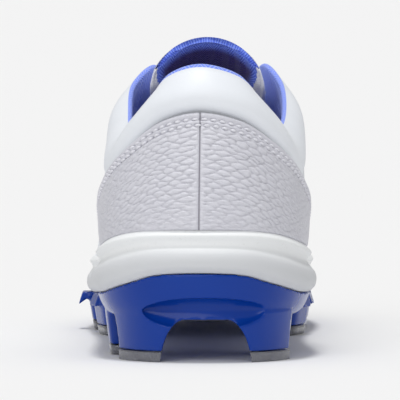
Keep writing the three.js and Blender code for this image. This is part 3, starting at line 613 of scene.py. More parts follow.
for row in STITCH_ROWS:
    path_v = counter_top(reach_u) - row / section_length(reach_u)
    travelled = path_length(upper_point(reach_u, path_v))
    phase = np.interp(u[:, 0], reach_u, travelled)[:, None] / STITCH_PITCH
    pit = 0.5 + 0.5 * np.cos(2 * np.pi * phase)
    sewn -= (0.3 + 0.55 * pit**3) * np.exp(-((d - row) / 0.55)**2)
sewn += 0.35 * np.exp(-((d - 0.9) / 0.7)**2) + 0.3 * np.exp(-((d - sum(STITCH_ROWS) / 2) / 0.45)**2)
seam_line = -CENTRE_SEAM_DEPTH * np.exp(-(s / CENTRE_SEAM_HALF)**2)
seam_line += 0.16 * np.exp(-((np.abs(s) - 1.3) / 0.6)**2)
out = GAP + OVERLAY * rounded + rounded * (relief + sewn + seam_line[:, None])
outer = upper_point(u, v, np.maximum(out, GAP + 0.25 * rounded))
back_v = top - height * np.linspace(0, 1, BACK_LEVELS)[None, :] / length
inner = upper_point(u, back_v, GAP)
rows, columns = outer.shape[:2]
points = np.concatenate([outer.reshape(-1, 3), inner.reshape(-1, 3)])
start = rows * columns
front = grid_faces(rows, columns)
back = grid_faces(rows, BACK_LEVELS)[:, ::-1] + start
k = np.arange(rows - 1)
near, far = k * columns, (k + 1) * columns
near_back, far_back = start + k * BACK_LEVELS, start + (k + 1) * BACK_LEVELS
top_rim = np.stack([near, far, far_back, near_back], -1)
foot_rim = np.stack([far, near, near_back, far_back], -1)
foot_rim += [[columns - 1, columns - 1, BACK_LEVELS - 1, BACK_LEVELS - 1]]
first_end = list(range(columns))[::-1] + list(range(start, start + BACK_LEVELS))
last_end = list(range((rows - 1) * columns, rows * columns)) \
    + [start + rows * BACK_LEVELS - 1 - k for k in range(BACK_LEVELS)]
counter_faces = np.concatenate([front, back, top_rim[:, ::-1], foot_rim[:, ::-1]]).tolist()
counter_faces += [first_end, last_end]
uv_front = np.stack(np.broadcast_arrays(s[:, None], -d), -1).reshape(-1, 2)
uv_back = np.zeros((rows * BACK_LEVELS, 2))

# Tumbled leather: chrome-tanned and milled until it wrinkles, then sprayed a pale lavender grey.
# Soft creases run across, with a fine grain between them and a slightly waxy gloss. Shade is painted
# darker into the creases and into the holes of the stitches.
tumbled_leather, tree, shader = new_material("tumbled_grey_leather")
place = add_node(tree, "ShaderNodeUVMap", uv_map="surface").outputs["UV"]
squeeze = add_node(tree, "ShaderNodeMapping", {"Vector": place, "Scale": (0.5, 1.0, 1.0)})
fine = add_node(tree, "ShaderNodeTexVoronoi", {"Vector": squeeze.outputs["Vector"], "Scale": 1 / (1.1 * MM)},
                feature="DISTANCE_TO_EDGE")
pores = noise(tree, place, 0.5 * MM, 3.0)
cells_high = spread(tree, fine.outputs["Distance"], 0.0, 0.12)
heights = math_of(tree, "ADD", cells_high, pores)
cloud = noise(tree, place, 16 * MM, 2.0)
tone = blend(tree, cloud, "#CDCDD6", "#D8D8DF")
axes = add_node(tree, "ShaderNodeSeparateXYZ", {"Vector": place})
aside = math_of(tree, "ABSOLUTE", axes.outputs["X"])
beside = spread(tree, aside, 0.1 * MM, 0.38 * MM)
seamed = blend(tree, beside, "#85838D", tone)
# painted shade: where 'raised' is low, in the creases and the stitch holes, the leather darkens to #9C9AA8
raised = add_node(tree, "ShaderNodeAttribute", attribute_name="raised")
crease_shaded = blend(tree, raised.outputs["Fac"], "#9C9AA8", seamed)
finish(tree, shader, crease_shaded, heights, 0.35, 0.22 * MM, 0.42)

counter = make_piece("heel_counter_leather", points, counter_faces, [tumbled_leather],
                     np.concatenate([uv_front, uv_back]))
# painted shade share for the creases and stitch holes: low where the relief is low or the thread dives in
creased = np.clip(plump / 0.8, 0, 1) * away_from_stitches + 1 - away_from_stitches
raised = np.clip(0.72 + 0.28 * creased + 0.9 * np.minimum(sewn + 0.25, 0), 0, 1)
write_value(counter, "raised", np.concatenate([raised.ravel(), np.ones(len(uv_back))]))
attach(counter, "root")
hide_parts("heel_counter")

# Stitches: bonded polyester thread, two rows along the counter's folded edge, each stitch a short bead
# that dives into the leather at both ends.
STITCH = 2.35
THREAD = 1.05


def stitches(path, normals, length, pitch, thread):
    """Beads along a path: rings of six points whose radius and height follow half an ellipse."""
    travelled = path_length(path)
    stops = np.arange(1.5 * pitch, travelled[-1] - 2 * pitch, pitch)
    middle = np.stack([np.interp(stops, travelled, path[:, k]) for k in range(3)], -1)
    ahead = np.stack([np.interp(stops + 0.3, travelled, path[:, k]) for k in range(3)], -1)
    up = unit(np.stack([np.interp(stops, travelled, normals[:, k]) for k in range(3)], -1))
    forward = unit(ahead - middle)
    side = np.cross(forward, up)
    t = np.linspace(-1, 1, 7)
    swell = np.sqrt(1 - (0.96 * t)**2)
    angle = np.linspace(0, 2 * np.pi, 6, endpoint=False)
    centre = middle[:, None, None] + forward[:, None, None] * (0.5 * length * t)[None, :, None, None] \
        + up[:, None, None] * (thread * (0.55 * swell - 0.45))[None, :, None, None]
    ring = side[:, None, None] * np.cos(angle)[None, None, :, None]
    ring = ring + up[:, None, None] * np.sin(angle)[None, None, :, None]
    grid = centre + ring * (0.5 * thread * swell)[None, :, None, None]
    count = len(stops)
    one = grid_faces(7, 6, False, True)
    caps = [[5, 4, 3, 2, 1, 0], [36, 37, 38, 39, 40, 41]]
    faces = [q for n in range(count) for q in (one + n * 42).tolist()]
    faces += [[k + n * 42 for k in cap] for n in range(count) for cap in caps]
    return grid.reshape(-1, 3), faces


# Bonded thread: twisted polyester, a little shiny, with the twist as fine slanting ridges.
bonded_thread, tree, shader = new_material("bonded_polyester_thread")
place = add_node(tree, "ShaderNodeTexCoord").outputs["Object"]
twist = add_node(tree, "ShaderNodeTexWave", {"Vector": place, "Scale": 1 / (2.2 * MM),
                                             "Distortion": 1.0}, bands_direction="DIAGONAL")
finish(tree, shader, "#DADAE1", twist.outputs["Fac"], 0.4, 0.15 * MM, 0.5)

stitch_points = []
stitch_faces = []
for row in STITCH_ROWS:
    path_v = counter_top(reach_u) - row / section_length(reach_u)
    path = upper_point(reach_u, path_v, GAP + OVERLAY - 0.1)
    beads, faces = stitches(path, bare_normal(reach_u, path_v), STITCH, STITCH_PITCH, THREAD)
    stitch_faces += [[k + sum(len(p) for p in stitch_points) for k in face] for face in faces]
    stitch_points.append(beads)
counter_stitches = make_piece("counter_stitches", np.concatenate(stitch_points), stitch_faces,
                              [bonded_thread])
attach(counter_stitches, "root")

# Eyestay: a band of the same white leather laid round the throat to carry the eyelets, with its outer
# edge stitched down.
EYESTAY_ROW = 6 + 1 / 3
EYESTAY_EDGE = 0.4
EYESTAY_COLUMNS = 420
EYESTAY_CELLS = 26
EYESTAY_STITCH = (2.3, 3.0, 0.7)  # length, pitch and thickness
STITCH_INSET = 2.2
u = np.linspace(EYESTAY_ROW / ROWS, 1 - EYESTAY_ROW / ROWS, EYESTAY_COLUMNS)[None, :]
low = below_top(u, band_height(u))
high = below_top(u, EYESTAY_EDGE)
t = np.linspace(0, 1, EYESTAY_CELLS)[:, None]
v = low + (high - low) * t
from_edge = np.minimum(t, 1 - t) * COLLAR_BAND + 0 * u
ends = np.minimum(np.arange(EYESTAY_COLUMNS), np.arange(EYESTAY_COLUMNS)[::-1])[None, :] * 0.7
from_edge = np.minimum(from_edge, ends)
rounded = round_edge(from_edge)
groove = np.exp(-((t * COLLAR_BAND - STITCH_INSET) / 0.45)**2)
outer = upper_point(u, v, GAP + OVERLAY * rounded - 0.3 * groove * rounded)
inner = upper_point(u, v, GAP)
gone = punch(outer, inner)
gone[:, -1] = False
rows, columns = outer.shape[:2]
front = grid_faces(rows, columns)
keep = ~gone[:, :-1].ravel()
back = front[:, ::-1] + rows * columns
border = np.concatenate([np.arange(columns), np.arange(1, rows) * columns + columns - 1,
                         (rows - 1) * columns + np.arange(columns - 1)[::-1],
                         np.arange(1, rows - 1)[::-1] * columns])
following = np.roll(border, -1)
rim = np.stack([following, border, border + rows * columns, following + rows * columns], -1)
faces = front[keep].tolist() + back[keep].tolist() + rim.tolist()
faces += hole_lining(gone, columns, lambda k: k + rows * columns)
eyestay = make_piece("eyestay_leather", np.concatenate([outer.reshape(-1, 3), inner.reshape(-1, 3)]), faces,
                     [white_leather])
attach(eyestay, "root")
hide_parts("eyestay")

path_u = np.linspace(EYESTAY_ROW / ROWS + 0.004, 1 - EYESTAY_ROW / ROWS - 0.004, 600)
path_v = below_top(path_u, band_height(path_u) - STITCH_INSET)
path = upper_point(path_u, path_v, GAP + OVERLAY - 0.15)
beads, faces = stitches(path, bare_normal(path_u, path_v), *EYESTAY_STITCH)
eyestay_stitches = make_piece("eyestay_stitches", beads, faces, [bonded_thread])
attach(eyestay_stitches, "root")

# Tongue: a padded arch sewn under the vamp, white knit outside, blue knit lining towards the foot, and a
# white textile binding round its edge.
TONGUE_THICK = 5.5
TONGUE_HALF_WIDTH = 20.5
TONGUE_CROWN = 21.0
TONGUE_SWEEP = 1.36
TONGUE_COLUMNS = ["y", "z", "width", "crown"]
TONGUE = np.array([
    [0.742, 0.586, 0.72, 0.25],
    [0.7, 0.603, 0.76, 0.3],
    [0.615, 0.698, 0.82, 0.5],
    [0.53, 0.812, 0.88, 0.75],
    [0.445, 0.922, 0.94, 0.95],
    [0.38, 1.015, 1.0, 1.0],
    [0.345, 1.07, 0.98, 1.0],
    [0.325, 1.096, 0.78, 1.0],
])
TONGUE_X = 0.016 * BALL_WIDTH
TONGUE_STEPS = 150
TONGUE_ACROSS = 64
BINDING = 3.4  # width of the binding that folds to the lining side
RIM = 0.8  # what shows of it round the top
BINDING_GROWTH = 12.0  # distance over which it widens from one to the other


def tongue_ridge(key):
    """Ridge of the tongue at a share of the shoe's length."""
    height = along(TONGUE, TONGUE_COLUMNS, "z", key) * COLLAR_HEIGHT
    return np.stack([0 * key + TONGUE_X, key * LENGTH, height], -1)


def tongue_point(share, across, depth):
    """Surface of the tongue: an arc hung from the ridge across its slope, at a depth below its top face."""
    key = TONGUE[0, 0] + (TONGUE[-1, 0] - TONGUE[0, 0]) * share
    climb = unit(tongue_ridge(key - SLOPE_STEP) - tongue_ridge(key + SLOPE_STEP))
    lift = np.stack([0 * key, climb[..., 2], -climb[..., 1]], -1)
    angle = across * TONGUE_SWEEP * along(TONGUE, TONGUE_COLUMNS, "width", key)
    crown = TONGUE_CROWN * along(TONGUE, TONGUE_COLUMNS, "crown", key)
    point = tongue_ridge(key) - lift * (depth + (crown - depth) * (1 - np.cos(angle)))[..., None]
    point[..., 0] += (TONGUE_HALF_WIDTH - depth) * np.sin(angle)
    return point


def tongue_thickness(share, across):
    """Thickness of the tongue: foam that thins to its edges, its top and its sewn end."""
    edge = np.sqrt(np.maximum(0.1, 1 - np.abs(across)**6))
    end = np.sqrt(np.maximum(0.12, 1 - share**14))
    return TONGUE_THICK * (0.42 + 0.58 * ease(0.1, 0.6, share)) * edge * end


share = np.linspace(0, 1, TONGUE_STEPS)[:, None]
across = np.sin(np.linspace(-np.pi / 2, np.pi / 2, TONGUE_ACROSS))[None, :]
share, across = np.broadcast_arrays(share, across)
thick = tongue_thickness(share, across)
face = tongue_point(share, across, 0 * share)
under = tongue_point(share, across, thick)
last_edge = tongue_point(share[:, -1:], 1.03 * across[:, -1:], thick[:, -1:] / 2)
first_edge = tongue_point(share[:, :1], 1.03 * across[:, :1], thick[:, :1] / 2)
loops = np.concatenate([face, last_edge, under[:, ::-1], first_edge], 1)
count = loops.shape[1]
first_cap = [list(range(count))]
last_cap = [[k + (TONGUE_STEPS - 1) * count for k in range(count)][::-1]]
quads = grid_faces(TONGUE_STEPS, count, False, True)
column = quads[:, 0] % count
row = quads[:, 0] // count
lining_side = (column > TONGUE_ACROSS) & (column < 2 * TONGUE_ACROSS)
across_of = np.concatenate([across[0], [1], across[0, ::-1], [-1]])[column]
tongue_length = np.linalg.norm(np.diff(face[:, TONGUE_ACROSS // 2], axis=0), axis=-1).sum()
from_top = (1 - row / (TONGUE_STEPS - 1)) * tongue_length
half_arc = TONGUE_HALF_WIDTH * TONGUE_SWEEP
side_binding = RIM + (BINDING - RIM) * ease(0, BINDING_GROWTH, from_top)
bound = (half_arc * (1 - np.abs(across_of)) < side_binding) | (from_top < RIM)
slots = np.where(lining_side & ~bound, 1, np.where(bound, 2, 0))
arc_across = np.concatenate([across[0], [1], across[0, ::-1], [-1]]) * half_arc
uv = np.stack(np.broadcast_arrays(arc_across[None, :], (share[:, :1] * tongue_length)), -1).reshape(-1, 2)

# Tongue lining: the same knit, bright round its rim, with painted shade in dark violet further in, where the
# light doesn't reach.
tongue_knit, tree, shader, tone = chevron_knit("blue_knit_with_painted_shade", "#4A66E0", "#7F9BFF", 1.1 * MM)
# painted shade: the lining darkens to violet #26106A from the rim inwards
rim = add_node(tree, "ShaderNodeAttribute", attribute_name="from_rim")
within = spread(tree, rim.outputs["Fac"], 1.0, 5.0, "SMOOTHSTEP")
shaded_within = blend(tree, within, tone, "#26106A")
tree.links.new(shaded_within, shader.inputs["Base Color"])

# White knit: polyester in small raised ribs about 1.2 mm apart, matt and soft.
white_knit, tree, shader = new_material("white_knitted_textile")
place = add_node(tree, "ShaderNodeUVMap", uv_map="surface").outputs["UV"]
axes = add_node(tree, "ShaderNodeSeparateXYZ", {"Vector": place})
ribs = math_of(tree, "MULTIPLY", axes.outputs["X"], 2 * math.pi / (1.3 * MM))
courses = math_of(tree, "MULTIPLY", axes.outputs["Y"], 2 * math.pi / (1.1 * MM))
rib_wave = math_of(tree, "SINE", ribs)
course_wave = math_of(tree, "SINE", courses)
loops_high = math_of(tree, "MULTIPLY", rib_wave, course_wave)
level = spread(tree, loops_high, -1.0, 1.0)
tone = blend(tree, level, "#E6E8EF", "#FBFCFF")
finish(tree, shader, tone, level, 0.4, 0.2 * MM, 0.85)
shader.inputs["Sheen Weight"].default_value = 0.15

tongue = make_piece("tongue_pad", loops.reshape(-1, 3), quads.tolist() + first_cap + last_cap,
                    [white_knit, tongue_knit, white_knit], uv, np.concatenate([slots, [0, 1]]))
from_end = (1 - share[:, :1]) * tongue_length
from_side = half_arc - np.abs(arc_across)[None, :] - RIM - (BINDING - RIM) * ease(0, BINDING_GROWTH, from_end)
from_rim = np.minimum(*np.broadcast_arrays(from_side, from_end))
write_value(tongue, "from_rim", np.maximum(from_rim, 0))
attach(tongue, "root")
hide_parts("tongue")

# Insole: a die-cut foam pad with a brushed knit top, dark blue violet, loose in the shoe.
INSOLE_THICK = 4.0
u = np.arange(AROUND) / AROUND
y = section("y", u) * LENGTH
rings = []
for share, draw in ((0.0, 0.8), (0.35, 0.1), (0.7, 0.0), (0.88, 0.3), (1.0, 1.3)):
    height = sole_height("bed", y) + GAP + share * INSOLE_THICK
    ring = upper_point(u, share_at_height(u, height), -WALL - 4 * GAP - draw)
    ring[:, 2] = height
    rings.append(ring)
points, faces = ring_shell(rings)

brushed_knit, tree, shader = new_material("brushed_insole_knit")
place = add_node(tree, "ShaderNodeTexCoord").outputs["Object"]
nap = noise(tree, place, 0.8 * MM, 3.0)
tone = blend(tree, nap, "#23235A", "#3C3A86")
finish(tree, shader, tone, nap, 0.4, 0.3 * MM, 0.9)
insole = make_piece("insole_pad", points, faces, [brushed_knit])
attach(insole, "root")
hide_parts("insole")

# Midsole: compression-moulded EVA foam, with a rounded lip, a groove under it and a full rounded body.
# The upper sits in its rim.
FOAM_FLARE = 5.2
FOREFOOT_FLARE = 3.4
FOAM_COLUMNS = ["rise", "out"]
FOAM_SIDE = np.array([
    [0.0, 0.55], [0.1, 0.88], [0.26, 1.0], [0.42, 0.92], [0.55, 0.62],
    [0.66, 0.4], [0.76, 0.46], [0.84, 0.66], [0.89, 0.66], [1.0, 0.32],
])


def sole_outline(u, share, distance):
    """Outline of the sole: the feather line pushed out by a share of the foam's flare and a distance."""
    tangent = feather(u + SLOPE_STEP) - feather(u - SLOPE_STEP)
    outwards = unit(np.stack([-tangent[..., 1], tangent[..., 0], 0 * u], -1))
    flare = FOAM_FLARE + (FOREFOOT_FLARE - FOAM_FLARE) * ease(4, 7.5, rows_from_heel(u))
    return feather(u) + outwards * (share * flare + distance)[..., None]


side_rings = []
rises = np.concatenate([np.linspace(0, 0.08, 5), np.linspace(0.1, 0.92, 34), np.linspace(0.94, 1, 5)])
for rise in rises:
    ring = sole_outline(u, along(FOAM_SIDE, FOAM_COLUMNS, "out", rise) + 0 * u, 0 * u)
    low = sole_height("parting", ring[:, 1]) + GAP
    ring[:, 2] = low + rise * (sole_height("rim", ring[:, 1]) - low)
    side_rings.append(ring)
bottom_ring = sole_outline(u, FOAM_SIDE[0, 1] + 0 * u, -1.5 + 0 * u)
bottom_ring[:, 2] = sole_height("parting", bottom_ring[:, 1]) + GAP
y = section("y", u) * LENGTH
bed = sole_height("bed", y)
pocket_rings = []
for share in (1.0, 0.97, 0.6, 0.3):
    height = bed + GAP + share * (sole_height("rim", y) - bed - GAP)
    ring = upper_point(u, share_at_height(u, height), GAP)
    ring[:, 2] = height
    pocket_rings.append(ring)
floor_ring = upper_point(u, 0 * u, GAP)
floor_ring[:, 2] = bed
lip = side_rings[-1]
crest = (lip + pocket_rings[0]) / 2
crest[:, 2] += 0.25
rings = [bottom_ring] + side_rings + [crest] + pocket_rings + [floor_ring]
points, faces = ring_shell(rings)

# Moulded EVA foam: closed cells under a thin skin, matt white, with faint grey specks and a fine grain.
# Below the groove, where the body faces down, painted shade greys it.
moulded_foam, tree, shader = new_material("moulded_eva_foam")
place = add_node(tree, "ShaderNodeTexCoord").outputs["Object"]
specks = noise(tree, place, 0.9 * MM, 2.0)
skin = noise(tree, place, 0.45 * MM, 3.0)
few = spread(tree, specks, 0.62, 0.78)
tone = blend(tree, few, "#ECEEEF", "#E3E5E5")
# painted shade: the 'body' value greys the foam below the groove towards #CFD1D4
low = add_node(tree, "ShaderNodeAttribute", attribute_name="body")
shaded = blend(tree, low.outputs["Fac"], tone, "#CFD1D4")
finish(tree, shader, shaded, skin, 0.2, 0.2 * MM, 0.55)
shader.inputs["Subsurface Weight"].default_value = 0.1
shader.inputs["Subsurface Radius"].default_value = (0.004, 0.004, 0.004)
midsole = make_piece("midsole_foam", points, faces, [moulded_foam])
# painted shade share: 1 on the body below the groove, fading to 0 towards the lip
body = np.zeros((len(rings), AROUND), np.float32)
body[1:1 + len(rises)] = (1 - ease(0.4, 0.72, rises))[:, None]
write_value(midsole, "body", body)
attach(midsole, "root")
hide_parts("midsole")

# Outsole: a plate injection-moulded in glossy blue TPU, with a curved heel wall that is opened by an arch
# into two posts, a hollow above the arch, and bladed studs under the forefoot.
STUD_HEIGHT = 14.6
TIP_HEIGHT = 3.4
HEEL_POST_DEPTH = 23.0
HEEL_POST_WALL = 10.0
HEEL_POST_TAPER = 4.6
MEDIAL_TAPER_LOSS = 2.0
ARCH_WIDTH = 31.0
ARCH_OFFSET = 2.2
SCOOP_DEPTH = 5.5
SCOOP_STRETCH = 0.45
HEEL_ROUND = 29.0
STUD_DRAFT = 1.8
STUD_SQUARENESS = 2 / 4.5  # power of the superellipse
PLATE_COLUMNS = ["share", "draw"]
PLATE_SIDE = np.array([[0.0, 4.6], [0.12, 3.0], [0.5, 1.2], [1.0, 0.0]])
HEEL_COLUMNS = ["share", "draw"]
HEEL_FORM = np.array([[-0.1, 1.0], [0.5, 0.93], [0.85, 0.78], [1.2, 0.55]])
STUDS = {  # name: x, y, turn, wide, long, fin
    "heel_lateral": (-0.348, 0.185, 4, 9, 16, 0.0),
    "heel_medial": (0.32, 0.185, -4, 9, 16, 0.0),
    "ball_lateral_1": (-0.435, 0.565, 14, 9, 17, 2.0),
    "ball_lateral_2": (-0.485, 0.69, 2, 9, 17, 4.0),
    "ball_lateral_3": (-0.4, 0.822, -20, 9, 17, 2.0),
    "ball_medial_1": (0.375, 0.57, -16, 9, 17, 1.5),
    "ball_medial_2": (0.395, 0.695, -4, 9, 17, 1.5),
    "ball_medial_3": (0.36, 0.82, 16, 9, 17, 1.5),
    "toe": (-0.025, 0.875, 90, 9, 17, 0.0),
}
VOXEL = 0.55 * MM
SMOOTHING = 6
KEPT_SHARE = 0.55


def squared(value, power):
    """Power of a sine or cosine that keeps its sign; below 1 it makes a circle squarish."""
    return np.sign(value) * np.abs(value)**power


def prism_shell(rings):
    """Faces of a solid from rings of one outline, closed by a flat face at each end."""
    count = len(rings[0])
    faces = grid_faces(len(rings), count, False, True).tolist()
    faces += [list(range(count))[::-1], [(len(rings) - 1) * count + k for k in range(count)]]
    return np.concatenate(rings), faces


def heel_form(inset):
    """Form of the heel under the plate: the sole's outline drawn in towards the floor."""
    rings = []
    taper = HEEL_POST_TAPER - MEDIAL_TAPER_LOSS * ease(2, 22, section("x", u) * BALL_WIDTH)
    for share in np.linspace(-0.1, 1.2, 14):
        draw = along(HEEL_FORM, HEEL_COLUMNS, "draw", share) * taper
        ring = sole_outline(u, FOAM_SIDE[0, 1] + 0 * u, -inset - draw)
        ring[:, 2] = share * STUD_HEIGHT
        rings.append(ring)
    return ring_shell(rings)


def plate_form():
    """Plate from its underside to the parting with the foam, its edge rounded by the table of draws."""
    rings = []
    for share in np.linspace(0, 1, 16):
        draw = along(PLATE_SIDE, PLATE_COLUMNS, "draw", share)
        ring = sole_outline(u, FOAM_SIDE[0, 1] + 0 * u, -draw + 0 * u)
        low = sole_height("floor", ring[:, 1])
        ring[:, 2] = low + share * (sole_height("parting", ring[:, 1]) - low)
        rings.append(ring)
    return ring_shell(rings)


def arch_form():
    """Opening between the posts: an outline of two quadratic curves and a flat crown, from back to front."""
    half = ARCH_WIDTH / 2
    crown = 0.5 * half
    t = np.linspace(0, 1, 24)[:, None]
    top = STUD_HEIGHT - GAP
    start, end = np.array([-half, -1]), np.array([-crown, top])
    bend = np.array([-half + 1.5, 0.85 * STUD_HEIGHT])
    left = start * (1 - t)**2 + 2 * bend * t * (1 - t) + end * t**2
    outline = np.concatenate([left, left[::-1] * [-1, 1]])
    x, z = outline[:, 0] + ARCH_OFFSET, outline[:, 1]
    rings = [np.stack([x, 0 * x + y, z], -1) for y in (-20, 40)]
    return prism_shell(rings)


def scoop_form():
    """Hollow above the arch: an ellipsoid bent round the heel, its y grown by the square of its x, and
    stretched below its middle."""
    polar = np.linspace(0, np.pi, 42)[1:-1]
    azimuth = np.linspace(0, 2 * np.pi, 96, endpoint=False)
    radii = np.array([0.67 * ARCH_WIDTH, SCOOP_DEPTH, 0.3 * STUD_HEIGHT])
    centre = np.array([ARCH_OFFSET - 0.7, 0.0, 1.2 * STUD_HEIGHT])
    rings = [centre + radii * np.stack([np.sin(p) * np.cos(azimuth), np.sin(p) * np.sin(azimuth),
                                        0 * azimuth + np.cos(p)], -1) for p in polar]
    for ring in rings:
        ring[:, 1] += (ring[:, 0] - centre[0])**2 / (2 * HEEL_ROUND)
        ring[:, 2] -= np.maximum(centre[2] - ring[:, 2], 0) * SCOOP_STRETCH
    return prism_shell(rings)


def block_form(low, high):
    """Box between two corners."""
    x, y, z = zip(low, high)
    rings = [np.array([[x[0], y[0], h], [x[1], y[0], h], [x[1], y[1], h], [x[0], y[1], h]], float) for h in z]
    return prism_shell(rings)


def stud_place(stud, across, ahead, z):
    """Points of a stud, turned about its own upright and moved to its place under the sole."""
    a = math.radians(stud[2])
    return np.stack([stud[0] * BALL_WIDTH + across * math.cos(a) - ahead * math.sin(a),
                     stud[1] * LENGTH + across * math.sin(a) + ahead * math.cos(a), z], -1)


def blade_ring(stud, z, draw=0.0):
    """Outline of a stud at a height: a squarish superellipse that grows with the draft towards the root."""
    y, wide, long = stud[1], stud[3], stud[4]
    grow = STUD_DRAFT * z / sole_height("floor", y * LENGTH) - draw
    angle = np.linspace(0, 2 * np.pi, 48, endpoint=False)
    px = (wide / 2 + grow) * squared(np.cos(angle), STUD_SQUARENESS)
    py = (long / 2 + grow) * squared(np.sin(angle), STUD_SQUARENESS)
    return stud_place(stud, px, py, 0 * px + z)


def fin_form(stud):
    """Fin at the root of a perimeter stud: a wedge profile carried along the stud."""
    x, y, _, wide, long, fin = stud
    side = math.copysign(1, x)
    root = sole_height("floor", y * LENGTH)
    reach = wide / 2 + STUD_DRAFT + fin
    profile = np.array([[0, root - 1], [side * (reach - 3), root + 0.6], [side * reach, root - 1.6],
                        [side * (reach - 1.6), root + 3.2], [0, root + 3.2]])
    across, z = profile[:, 0], profile[:, 1]
    return prism_shell([stud_place(stud, across, ahead, z) for ahead in (-0.3 * long, 0.3 * long)])


def cut_form(form, others):
    """Mesh of a form after others are taken from it or crossed with it, by Blender's boolean modifier."""
    body = make_piece("form", *form, [])
    helpers = []
    for other, operation in others:
        helper = make_piece("cutter", *other, [])
        helpers.append(helper)
        cut = body.modifiers.new("cut", "BOOLEAN")
        cut.operation = operation
        cut.solver = "MANIFOLD"
        cut.object = helper
    shaped = bpy.data.meshes.new_from_object(body.evaluated_get(bpy.context.evaluated_depsgraph_get()))
    for used in helpers + [body]:
        bpy.data.objects.remove(used)
    return shaped


def moulded(name, meshes, voxel, smoothing, kept, material):
    """One moulded piece: shells fused by a voxel remesh, edges softened by smoothing, then thinned out."""
    joined = bpy.data.objects.new(name, bpy.data.meshes.new(name))
    bpy.context.scene.collection.objects.link(joined)
    points = []
    faces = []
    start = 0
    for mesh in meshes:
        co = np.empty(len(mesh.vertices) * 3, np.float32)
        mesh.vertices.foreach_get("co", co)
        points.append(co.reshape(-1, 3))
        faces += [[k + start for k in polygon.vertices] for polygon in mesh.polygons]
        start += len(mesh.vertices)
    joined.data.from_pydata(np.concatenate(points).tolist(), [], faces)
    remesh = joined.modifiers.new("fuse", "REMESH")
    remesh.mode = "VOXEL"
    remesh.voxel_size = voxel
    remesh.use_smooth_shade = True
    soften = joined.modifiers.new("soften", "SMOOTH")
    soften.factor = 0.5
    soften.iterations = smoothing
    if kept < 1:
        thin = joined.modifiers.new("thin", "DECIMATE")
        thin.ratio = kept
    result = bpy.data.meshes.new_from_object(joined.evaluated_get(bpy.context.evaluated_depsgraph_get()))
    joined.modifiers.clear()
    joined.data = result
    result.materials.clear()
    result.materials.append(material)
    result.polygons.foreach_set("use_smooth", np.ones(len(result.polygons), bool))
    return joined


# Moulded TPU: dense royal blue, a smooth mould finish with a thin gloss, clouded a little by the flow
# of the melt.
moulded_tpu, tree, shader = new_material("moulded_blue_tpu")
place = add_node(tree, "ShaderNodeTexCoord").outputs["Object"]
flow = noise(tree, place, 22 * MM, 1.0)
ripple = noise(tree, place, 6 * MM, 1.0)
tone = blend(tree, flow, "#05338F", "#0A3B98")
finish(tree, shader, tone, ripple, 0.12, 0.5 * MM, 0.2)
shader.inputs["Specular IOR Level"].default_value = 0.2
shader.inputs["Coat Weight"].default_value = 0.08
shader.inputs["Coat Roughness"].default_value = 0.05

wall_cuts = [
    (heel_form(HEEL_POST_WALL), "DIFFERENCE"),
    (arch_form(), "DIFFERENCE"),
    (scoop_form(), "DIFFERENCE"),
]
above_tips = block_form((-60, -20, TIP_HEIGHT + GAP), (60, HEEL_POST_DEPTH, 1.15 * STUD_HEIGHT))
heel_wall = cut_form(heel_form(0), wall_cuts + [(above_tips, "INTERSECT")])
plate = cut_form(plate_form(), [(scoop_form(), "DIFFERENCE")])
stud_meshes = []
for stud in STUDS.values():
    root = sole_height("floor", stud[1] * LENGTH)
    rings = [blade_ring(stud, z) for z in (TIP_HEIGHT + GAP, root + 1.5)]
    stud_meshes.append(make_piece("blade", *prism_shell(rings), []))
    if stud[5] > 0:
        stud_meshes.append(make_piece("fin", *fin_form(stud), []))
outsole = moulded("outsole_plate", [heel_wall, plate] + [blade.data for blade in stud_meshes], VOXEL,
                  SMOOTHING, KEPT_SHARE, moulded_tpu)
for blade in stud_meshes:
    bpy.data.objects.remove(blade)
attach(outsole, "root")
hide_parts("outsole")

# Stud ends: clear TPU moulded onto each stud as its wearing end, greyish where the floor shows through.
clear_tpu, tree, shader = new_material("clear_tpu")
place = add_node(tree, "ShaderNodeTexCoord").outputs["Object"]
haze = noise(tree, place, 3 * MM, 2.0)
tone = blend(tree, haze, "#85868F", "#A2A3AB")
finish(tree, shader, tone, haze, 0.15, 0.3 * MM, 0.18)
shader.inputs["Transmission Weight"].default_value = 0.6

TIP_SIDE = ((0.0, 0.7), (0.12, 0.35), (0.45, 0.08), (1.0, 0.0), (TIP_HEIGHT - 0.25, 0.0), (TIP_HEIGHT, 0.2))
for name, stud in STUDS.items():
    rings = [blade_ring(stud, z, draw) for z, draw in TIP_SIDE]
    tip = make_piece("clear_tip_" + name, *prism_shell(rings), [clear_tpu])
    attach(tip, "root")
    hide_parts("tip_" + name)
for name, low, high in (("rear_lateral", -60, ARCH_OFFSET), ("rear_medial", ARCH_OFFSET, 60)):
    corner = block_form((low, -20, 0), (high, HEEL_POST_DEPTH, TIP_HEIGHT))
    tip_mesh = cut_form(heel_form(0), wall_cuts + [(corner, "INTERSECT")])
    tip = moulded("clear_tip_" + name, [tip_mesh], 0.3 * MM, 3, 0.5, clear_tpu)
    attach(tip, "root")
    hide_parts("tip_" + name)

# Laces: one flat polyester braid, criss-crossed. Each run comes up through an eyelet, crosses the tongue
# and goes under the far edge of the throat; the ends stop inside the top eyelets.
LACE_WIDTH = 6.5
LACE_THICK = 1.5
LACE_REST = LACE_THICK / 2 + OVERLAY + 2.2 * GAP
HOLE_WIDTH = 0.55  # share of the lace's width that is left inside an eyelet
LACE_STEPS = 60
LACE_SIDES = 20
LACE_SQUARENESS = 0.75


